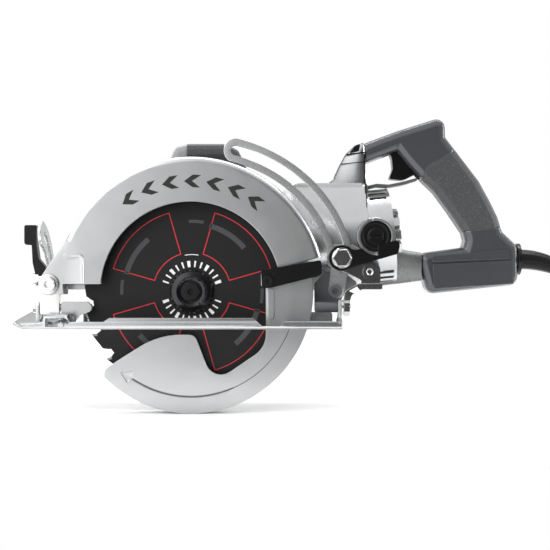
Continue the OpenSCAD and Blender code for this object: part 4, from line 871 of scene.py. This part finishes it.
@dataclass
class Guards:
    """The fixed upper guard and the swinging lower guard."""

    face: float = -18.0
    lower_face: float = -12.5
    groove_r: float = 100.0
    groove_depth: float = 0.6
    groove_half: float = 0.85
    # The groove's ends in degrees, where its crease ends, and the crease's edges about groove_r
    groove_degrees: Point = (236.0, 294.0)
    crease_end: float = 341.0
    crease: Point = (-0.55, 0.35)
    paint: float = 0.05
    # The direction marks: how many, their radii, first angle, step, width and lean in degrees
    arrows: int = 7
    arrow_r: Point = (99.0, 111.0)
    arrow_first: float = 128.0
    arrow_step: float = 11.5
    arrow_width: float = 4.2
    arrow_lean: float = 4.5

    def build(self, saw: Saw) -> None:
        """Dresses the guards, puts direction marks on the upper one and paints shade into the lower
        one's groove.
        """
        saw.dress("upper_guard", 0.6)
        saw.dress("lower_guard", 0.35)
        saw.dress("guard_lever", 0.25)
        saw.dress("guard_lever_screws", 0.3)
        saw.dress("guard_retainer", 0.3)
        saw.paint("guard_spring")
        saw.show("direction_marks", self.chevrons(), BLACK_INK, "saw_body")
        # The groove's shade is painted: a dark strip in its floor and a dark line along its crease
        saw.show("groove_shade_paint", self.groove(), GROOVE_SHADE, "lower_guard_body")

    def groove(self) -> bpy.types.Mesh:
        """Painted shade: a dark strip on the floor of the lower guard's groove and a dark line along
        the crease that carries it on.
        """
        start, end = self.groove_degrees
        inner, outer = self.crease
        cut = ring_part(self.groove_r - self.groove_half, self.groove_r + self.groove_half, start, end)
        crease = ring_part(self.groove_r + inner, self.groove_r + outer, end, self.crease_end)
        face, floor = self.lower_face, self.lower_face + self.groove_depth
        return joined(
            [
                plate(shifted(cut, ARBOR), [], floor - self.paint, floor + SUNK),
                plate(shifted(crease, ARBOR), [], face - PROUD, face + SUNK),
            ],
            "groove",
        )

    def chevrons(self) -> bpy.types.Mesh:
        """Plain chevrons along the guard that point the way the blade turns."""
        parts = []
        (r0, r1), width, lean = self.arrow_r, self.arrow_width, self.arrow_lean
        middle = (r0 + r1) / 2
        for i in range(self.arrows):
            a = self.arrow_first - i * self.arrow_step
            outline = [
                polar(r0, a - lean),
                polar(middle, a),
                polar(r1, a - lean),
                polar(r1, a - lean - width),
                polar(middle, a - width),
                polar(r0, a - lean - width),
            ]
            parts.append(
                plate(shifted(outline, ARBOR), [], self.face - self.paint, self.face + 0.3)
            )
        return joined(parts, "chevrons")


@dataclass
class Drive:
    """The gear housing with what it holds."""

    inner: tuple[str, ...] = (
        "arbor_bearings",
        "armature_bearings",
        "armature_shaft",
        "worm",
        "worm_wheel",
        "arbor_shaft",
    )

    def build(self, saw: Saw) -> None:
        """Dresses the castings and paints what is inside."""
        saw.dress("gear_housing", 0.5)
        saw.dress("arbor_cover", 0.5)
        saw.dress("cover_screws", 0.25)
        saw.dress("oil_plug", 0.4)
        for node in self.inner:
            saw.paint(node)


@dataclass
class Motor:
    """The motor: its housing, its bell and what is inside."""

    # The motor's axis: its point at the bell's seam, its slope in degrees and its Y
    seam: Point = (307.2, 87.92)
    tilt: float = 5.5
    mid_y: float = 62.0
    barrel_r: float = 48.0
    half_top: float = 27.0
    top_z: float = 141.82
    # The flank: its two ends, the run in which it rises from the barrel, its rows and steps,
    # and how its brow starts on the flat top, bows out and ends in degrees past the tangent
    flank_x: Point = (206.0, 303.4)
    flank_run: float = 26.0
    flank_rows: int = 40
    flank_steps: int = 20
    brow_in: float = 4.0
    brow_out: Point = (2.2, 1.6)
    brow_end: float = 6.0
    # How far skins lie over what they cover, and how deep the flank starts in the barrel
    over: float = 0.1
    tucked: float = 0.4
    # The rounded arms: their flat near side, how their crest leans and how round they are
    arm_y: float = 46.0
    arm_lean: float = 0.9
    arm_round: Point = (2.4, 0.6)
    arm_steps: int = 24
    # Rows of the neck and of the lower arm: place, two ends and rise
    neck_rows: tuple[tuple[float, float, float, float], ...] = (
        (141.0, 264.5, 306.4, 1.6),
        (146.0, 271.9, 305.5, 2.4),
        (152.0, 274.8, 304.6, 2.4),
        (160.0, 278.6, 303.3, 2.4),
        (166.0, 281.8, 304.3, 2.4),
        (171.0, 284.8, 304.0, 2.3),
        (176.0, 290.0, 303.5, 2.0),
        (179.5, 294.0, 303.1, 1.3),
        (182.0, 298.5, 302.6, 0.0),
    )
    # Strips of painted shade in the seams: how far they stand out, the line down the housing's end,
    # and the neck's lines
    seam_out: float = 2.62
    drop_x: tuple[float, ...] = (302.6, 303.5, 304.4)
    drop_z: tuple[float, ...] = (141.4, 134.0, 127.0, 120.0, 113.0)
    drop_slope: float = 0.42
    seam_lines: tuple[tuple[Point, ...], ...] = (
        ((284.6, 170.2), (304.1, 172.6), (304.0, 173.9), (285.8, 171.6)),
        ((279.6, 161.0), (303.4, 163.4), (303.5, 164.1), (280.0, 161.8)),
        ((288.2, 173.0), (294.4, 179.9), (298.6, 181.4), (297.2, 174.6)),
        ((302.4, 142.0), (303.9, 142.0), (303.9, 172.0), (302.9, 172.0)),
    )
    stub_rows: tuple[tuple[float, float, float, float], ...] = (
        (322.0, 40.6, 74.6, 2.4),
        (334.0, 41.8, 78.4, 2.6),
        (340.0, 42.5, 76.6, 2.6),
        (346.0, 43.3, 74.9, 2.4),
        (354.0, 44.4, 73.8, 2.2),
        (360.2, 45.2, 73.0, 1.6),
    )
    inner: tuple[str, ...] = (
        "field_stator",
        "field_coils",
        "brush_holders",
        "carbon_brushes",
        "armature_core",
        "commutator",
        "cooling_fan",
    )

    def build(self, saw: Saw) -> None:
        """Dresses the castings and paints what is inside."""
        saw.dress("motor_housing", 0.6)
        saw.dress("motor_end_bell", 0.35)
        saw.dress("brush_caps", 0.5, change=self.level_slot)
        saw.show("housing_flank", self.flank(), CASE_CAST, "saw_body")
        # Painted shade: black strips stand in for the shade in the gaps at the neck's cap and where
        # the handle and the bell meet the housing
        saw.show("neck_seam_shades", self.seam_shades(), BLACK_PLASTIC, "saw_body")
        saw.show("neck_round", self.bulged(self.neck_rows, 2), CASE_CAST, "saw_body")
        saw.show("stub_round", self.bulged(self.stub_rows, 0), BELL_CAST, "saw_body")
        for node in self.inner:
            saw.paint(node)


    def axis_z(self, x: float) -> float:
        """The height of the motor's axis at x, in mm."""
        return self.seam[1] - (self.seam[0] - x) * math.tan(math.radians(self.tilt))

    def flank(self) -> bpy.types.Mesh:
        """The housing's near flank, which runs in one sweep from the flat top into the barrel."""
        sections = []
        for i in range(self.flank_rows + 1):
            x = self.flank_x[0] + (self.flank_x[1] - self.flank_x[0]) * i / self.flank_rows
            rise = min(1.0, (x - self.flank_x[0]) / self.flank_run)
            rise = rise * rise * (3 - 2 * rise)
            up = self.top_z - self.axis_z(x)
            corner = math.degrees(math.atan2(up, -self.half_top))
            meets = corner + math.degrees(math.acos(self.barrel_r / math.hypot(self.half_top, up)))
            start = (self.brow_in - self.half_top, up - self.over)
            pull = (-self.half_top - self.brow_out[0], up - self.brow_out[1])
            end = polar(self.barrel_r + self.over, meets + self.brow_end)
            section = []
            for k in range(self.flank_steps + 1):
                t = k / self.flank_steps
                y = (1 - t) ** 2 * start[0] + 2 * t * (1 - t) * pull[0] + t * t * end[0]
                z = (1 - t) ** 2 * start[1] + 2 * t * (1 - t) * pull[1] + t * t * end[1]
                shrink = (self.barrel_r - self.tucked) / math.hypot(y, z)
                scale = shrink + (1 - shrink) * rise
                section.append((x, self.mid_y + y * scale, self.axis_z(x) + z * scale))
            sections.append(section)
        return joined([lofted(sections)], "flank")

    def seam_shades(self) -> bpy.types.Mesh:
        """Dark strips of painted shade in the seams round the neck: at its cap, and where the handle
        and the bell start.
        """
        near = self.arm_y - self.seam_out
        parts = [plate(outline, [], near, self.arm_y) for outline in self.seam_lines]
        top, side = self.drop_z[0], self.mid_y - self.half_top - 0.6
        drop = [[(x, side - self.drop_slope * (top - z), z) for z in self.drop_z] for x in self.drop_x]
        parts.append(lofted(drop))
        return joined(parts, "seam_shades")

    def level_slot(self, mesh: bpy.types.Mesh) -> bpy.types.Mesh:
        """Turns each brush cap a quarter about its own axis, so that its slot lies level."""
        for near in (True, False):
            part = [v for v in mesh.vertices if (v.co.y < self.mid_y * MM) is near]
            x = (min(v.co.x for v in part) + max(v.co.x for v in part)) / 2
            z = (min(v.co.z for v in part) + max(v.co.z for v in part)) / 2
            for vert in part:
                vert.co.x, vert.co.z = x + (vert.co.z - z), z - (vert.co.x - x)
        return mesh

    def bulged(self, rows: Sequence[tuple[float, float, float, float]], along: int) -> bpy.types.Mesh:
        """A skin that rounds an arm's flat near side.

        Args:
            rows: The place of each row, its two ends and its rise, in mm.
            along: The axis that the rows follow each other on.

        Returns:
            The new mesh.
        """
        sections = []
        for place, low, high, rise in rows:
            section = []
            for k in range(self.arm_steps + 1):
                u = -math.cos(math.pi * k / self.arm_steps)
                across = (low + high) / 2 + u * (high - low) / 2
                lean = (1 + self.arm_lean * u) / (1 + self.arm_lean / 2)
                crest = (1 - abs(u) ** self.arm_round[0]) ** self.arm_round[1]
                y = self.arm_y + self.over - (rise + 0.15) * lean * crest
                section.append((across, y, place) if along == 2 else (place, y, across))
            sections.append(section)
        return joined([lofted(sections)], "bulged")


@dataclass
class Handles:
    """The rear and the front handle with their grips."""

    # The raised panels: their flat back, their softened edges, and their near corners
    panel_back: float = 46.0
    panel_bevel: float = 0.7
    upper: tuple[tuple[float, float, float], ...] = (
        (370.5, 43.9, 63.5),
        (370.3, 43.9, 69.2),
        (447.5, 43.9, 76.6),
        (449.0, 43.9, 66.6),
    )
    lower: tuple[tuple[float, float, float], ...] = (
        (372.8, 43.9, 36.6),
        (371.0, 42.6, 61.3),
        (449.4, 43.2, 65.4),
        (452.2, 44.2, 41.8),
    )

    def build(self, saw: Saw) -> None:
        """Moulds the handles smooth and dresses their small parts."""
        for node in ("rear_handle_left", "rear_handle_right", "front_handle"):
            saw.remould(node, 0.9, 5)
        for node in ("rear_grip_cover", "front_grip_cover"):
            saw.remould(node, 0.55, 5)
        saw.dress("trigger", 0.5)
        saw.dress("trigger_guard_bar", 0.5)
        saw.dress("switch_unit", 0.5)
        saw.dress("handle_screws", 0.3)
        saw.paint("trigger_pin")
        saw.paint("cord_clamp")
        saw.show("handle_panels", self.panels(), HANDLE, "saw_body")

    def panels(self) -> bpy.types.Mesh:
        """The two raised panels on the near side of the rear handle's box."""
        parts = [slanted(corners, self.panel_back) for corners in (self.upper, self.lower)]
        return softened(joined(parts, "panels"), self.panel_bevel * MM)


@dataclass
class DepthLock:
    """The depth bracket and what locks it."""

    def build(self, saw: Saw) -> None:
        """Dresses the bracket, the lever and the stop plate."""
        saw.dress("depth_bracket", 0.45)
        saw.dress("depth_bolt", 0.5)
        saw.dress("depth_lever", 0.45)
        saw.dress("depth_lever_nut", 0.5)
        saw.dress("stop_plate", 0.25)
        saw.dress("stop_plate_screw", 0.5)


@dataclass
class FootSet:
    """The foot, the tilt brackets and the bevel locks."""

    near: float = 38.0
    bulge: float = 1.3
    # The rail's height where its bulge is full, and the cuts that let it bend
    rail_high: float = 10.7
    rail_cut: float = 1.1
    rail_cuts: int = 11
    # The bevel bolt: its head's radius and place, its shank's radius and ends
    head_r: float = 7.2
    head_x: float = -31.0
    shank_r: float = 6.52
    shank_x: Point = (-14.0, -24.3)
    lock_bolt: Point = (58.76, 46.97)
    rail: tuple[Point, ...] = (
        (-40.0, 6.4),
        (-6.4, 6.4),
        (-2.6, 14.5),
        (19.6, 14.5),
        (22.0, 7.0),
        (54.0, 7.0),
        (59.5, 10.7),
        (193.5, 10.7),
        (202.0, 3.0),
        (219.0, 3.0),
        (222.0, 7.5),
        (290.0, 7.5),
    )

    def build(self, saw: Saw) -> None:
        """Dresses the foot and everything that tilts with it."""
        saw.dress("foot_plate", 0.3, change=self.rounded_rail)
        saw.dress("bevel_quadrant", 0.35)
        saw.dress("bevel_pivot_bolts", 0.4)
        saw.dress("front_tilt_bracket", 0.3)
        saw.dress("rear_tilt_bracket", 0.3)
        saw.dress("depth_pivot_bolt", 0.4)
        saw.dress("bevel_lever", 0.3)
        saw.dress("rear_bevel_lever", 0.25)
        saw.show("bevel_bolt_head", self.bolt_head(), BRIGHT, "front_bevel_lock")

    def bolt_head(self) -> bpy.types.Mesh:
        """The bright round head of the front bevel lock bolt."""
        r = self.head_r + 0.12
        start, end = self.shank_x
        turns = [math.radians(a) for a in range(0, 90, 10)]
        dome = [(self.head_x - r * math.sin(a), r * math.cos(a)) for a in turns]
        profile = [(start, self.shank_r), (end, self.shank_r), (end, r), *dome, (self.head_x - r, 0.0)]
        return joined([turned((0, *self.lock_bolt), (1, 0, 0), profile)], "bolt_head")

    def rounded_rail(self, mesh: bpy.types.Mesh) -> bpy.types.Mesh:
        """A copy of the foot's mesh whose near rail has a rounded face."""
        bm = bmesh.new()
        bm.from_mesh(mesh)
        limit = -self.near * MM + 1e-5
        near = [f for f in bm.faces if f.normal.y < -0.99 and f.calc_center_median().y < limit]
        edges = (e for f in near for e in f.edges)
        part: list[Any] = list({*near, *edges, *(v for f in near for v in f.verts)})
        for i in range(1, self.rail_cuts + 1):
            level = (0, 0, i * self.rail_cut * MM)
            cut = bmesh.ops.bisect_plane(
                bm, geom=part, dist=1e-6, plane_co=level, plane_no=(0, 0, 1)
            )
            part = cut["geom"]
        for vert in bm.verts:
            if vert.co.y < limit:
                top = self.rail_top(vert.co.x / MM)
                t = min(1.0, max(0.0, vert.co.z / MM / top))
                vert.co.y += self.bulge * MM * min(1.0, top / self.rail_high) * (2 * t - 1) ** 2
        for face in bm.faces:
            face.smooth = True
        result = bpy.data.meshes.new("rounded")
        bm.to_mesh(result)
        bm.free()
        result.set_sharp_from_angle(angle=math.radians(EDGE_DEG))
        return modified(result, weigh_normals)

    def rail_top(self, x: float) -> float:
        """The height of the near rail's top edge at x, in mm."""
        for (x0, z0), (x1, z1) in zip(self.rail, self.rail[1:]):
            if x < x1:
                return z0 + (z1 - z0) * max(0.0, x - x0) / (x1 - x0)
        return self.rail[-1][1]


@dataclass(frozen=True)
class Studio:
    """A plain pale floor, soft light and the photograph's camera."""

    camera_at: tuple[float, float, float] = (0.2138, -1.150, 0.0507)
    view_deg: float = 25.9
    floor_z: float = -0.0813
    floor_front: float = -0.32

    def set_camera(self) -> None:
        """Puts the camera at the photograph's place."""
        data = bpy.data.cameras.new("camera")
        data.sensor_width = 36.0
        data.lens = 18.0 / math.tan(math.radians(self.view_deg / 2))
        data.clip_start = 0.05
        camera = bpy.data.objects.new("camera", data)
        camera.location = self.camera_at
        camera.rotation_euler = (math.radians(90), 0, 0)
        bpy.context.scene.collection.objects.link(camera)
        bpy.context.scene.camera = camera

    def light(
        self,
        name: str,
        at: Sequence[float],
        aim: Sequence[float],
        size: Sequence[float],
        watts: float,
    ) -> None:
        """Adds an oblong area light of that width and height that faces a point."""
        data = bpy.data.lights.new(name, "AREA")
        data.shape = "RECTANGLE"
        data.size, data.size_y = size
        data.energy = watts
        lamp = bpy.data.objects.new(name, data)
        lamp.location = at
        lamp.rotation_euler = (Vector(aim) - Vector(at)).to_track_quat("-Z", "Y").to_euler()
        bpy.context.scene.collection.objects.link(lamp)

    def build(self) -> None:
        """Builds the floor, the lights and the sky."""
        bm = bmesh.new()
        ends = ((-6.0, self.floor_front), (6.0, self.floor_front), (6.0, 6.0), (-6.0, 6.0))
        bm.faces.new([bm.verts.new((x, y, self.floor_z)) for x, y in ends])
        mesh = bpy.data.meshes.new("floor")
        bm.to_mesh(mesh)
        bm.free()
        floor = bpy.data.objects.new("floor", mesh)
        bpy.context.scene.collection.objects.link(floor)
        mesh.materials.append(FLOOR.build())
        self.sky()
        middle = (0.2, 0.0, 0.05)
        self.light("key", (-0.75, -1.25, 0.95), middle, (0.7, 0.7), 6.0)
        self.light("top", (0.25, 0.3, 1.12), middle, (1.4, 0.1), 13.0)
        self.light("right", (1.45, -0.15, 0.3), (0.4, 0.05, 0.1), (0.14, 0.9), 14.0)
        view = bpy.context.scene.view_settings
        view.view_transform = "Standard"
        view.look = "None"

    def sky(self) -> None:
        """A white backdrop; metal mirrors a bright left and top, and a dark right."""
        world = bpy.data.worlds.new("studio")
        bpy.context.scene.world = world
        world.use_nodes = True
        tree = world.node_tree
        tree.nodes.clear()
        way = add(tree, "ShaderNodeTexCoord").outputs["Generated"]
        parts = add(tree, "ShaderNodeSeparateXYZ", {"Vector": way}).outputs
        across = self.blend(tree, parts["X"], -0.26, 0.02, 1.9, 0.02)
        behind = self.blend(tree, parts["Y"], -0.35, 0.25, 0.0, 0.75)
        level = add(tree, "ShaderNodeMath", {0: across, 1: behind}, operation="MAXIMUM").outputs[0]
        high = self.blend(tree, parts["Z"], 0.25, 0.72, 0.0, 1.05)
        strength = add(tree, "ShaderNodeMath", {0: level, 1: high}, operation="MAXIMUM").outputs[0]
        glow = add(tree, "ShaderNodeBackground", {"Color": rgba("#ffffff"), "Strength": strength})
        backdrop = add(tree, "ShaderNodeBackground", {"Color": rgba("#ffffff"), "Strength": 1.0})
        seen = add(tree, "ShaderNodeLightPath").outputs["Is Camera Ray"]
        both = add(tree, "ShaderNodeMixShader", {0: seen, 1: glow.outputs[0], 2: backdrop.outputs[0]})
        out = add(tree, "ShaderNodeOutputWorld", {"Surface": both.outputs[0]})
        out.is_active_output = True

    def blend(self, tree: Any, value: Any, a: float, b: float, low: float, high: float) -> Any:
        """Maps a..b of a value smoothly to low..high."""
        inputs = {"Value": value, 1: a, 2: b, 3: low, 4: high}
        node = add(tree, "ShaderNodeMapRange", inputs, interpolation_type="SMOOTHSTEP")
        return node.outputs["Result"]


def main(frame: dict[str, Any]) -> None:
    """Builds every sub-assembly in order.

    Args:
        frame: The loaded frame.
    """
    studio = Studio()
    studio.set_camera()
    saw = Saw(frame)
    builders: list[Callable[[Saw], None]] = [
        CordSet().build,
        BladeSet().build,
        Guards().build,
        Drive().build,
        Motor().build,
        Handles().build,
        DepthLock().build,
        FootSet().build,
    ]
    for build in builders:
        build(saw)
    studio.build()
    LOG.info("%d pieces", len(saw.made))


if __name__ == "__main__":
    logging.basicConfig(level=logging.INFO, format="%(message)s")
    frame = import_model()
    main(frame)
    bpy.context.view_layer.update()
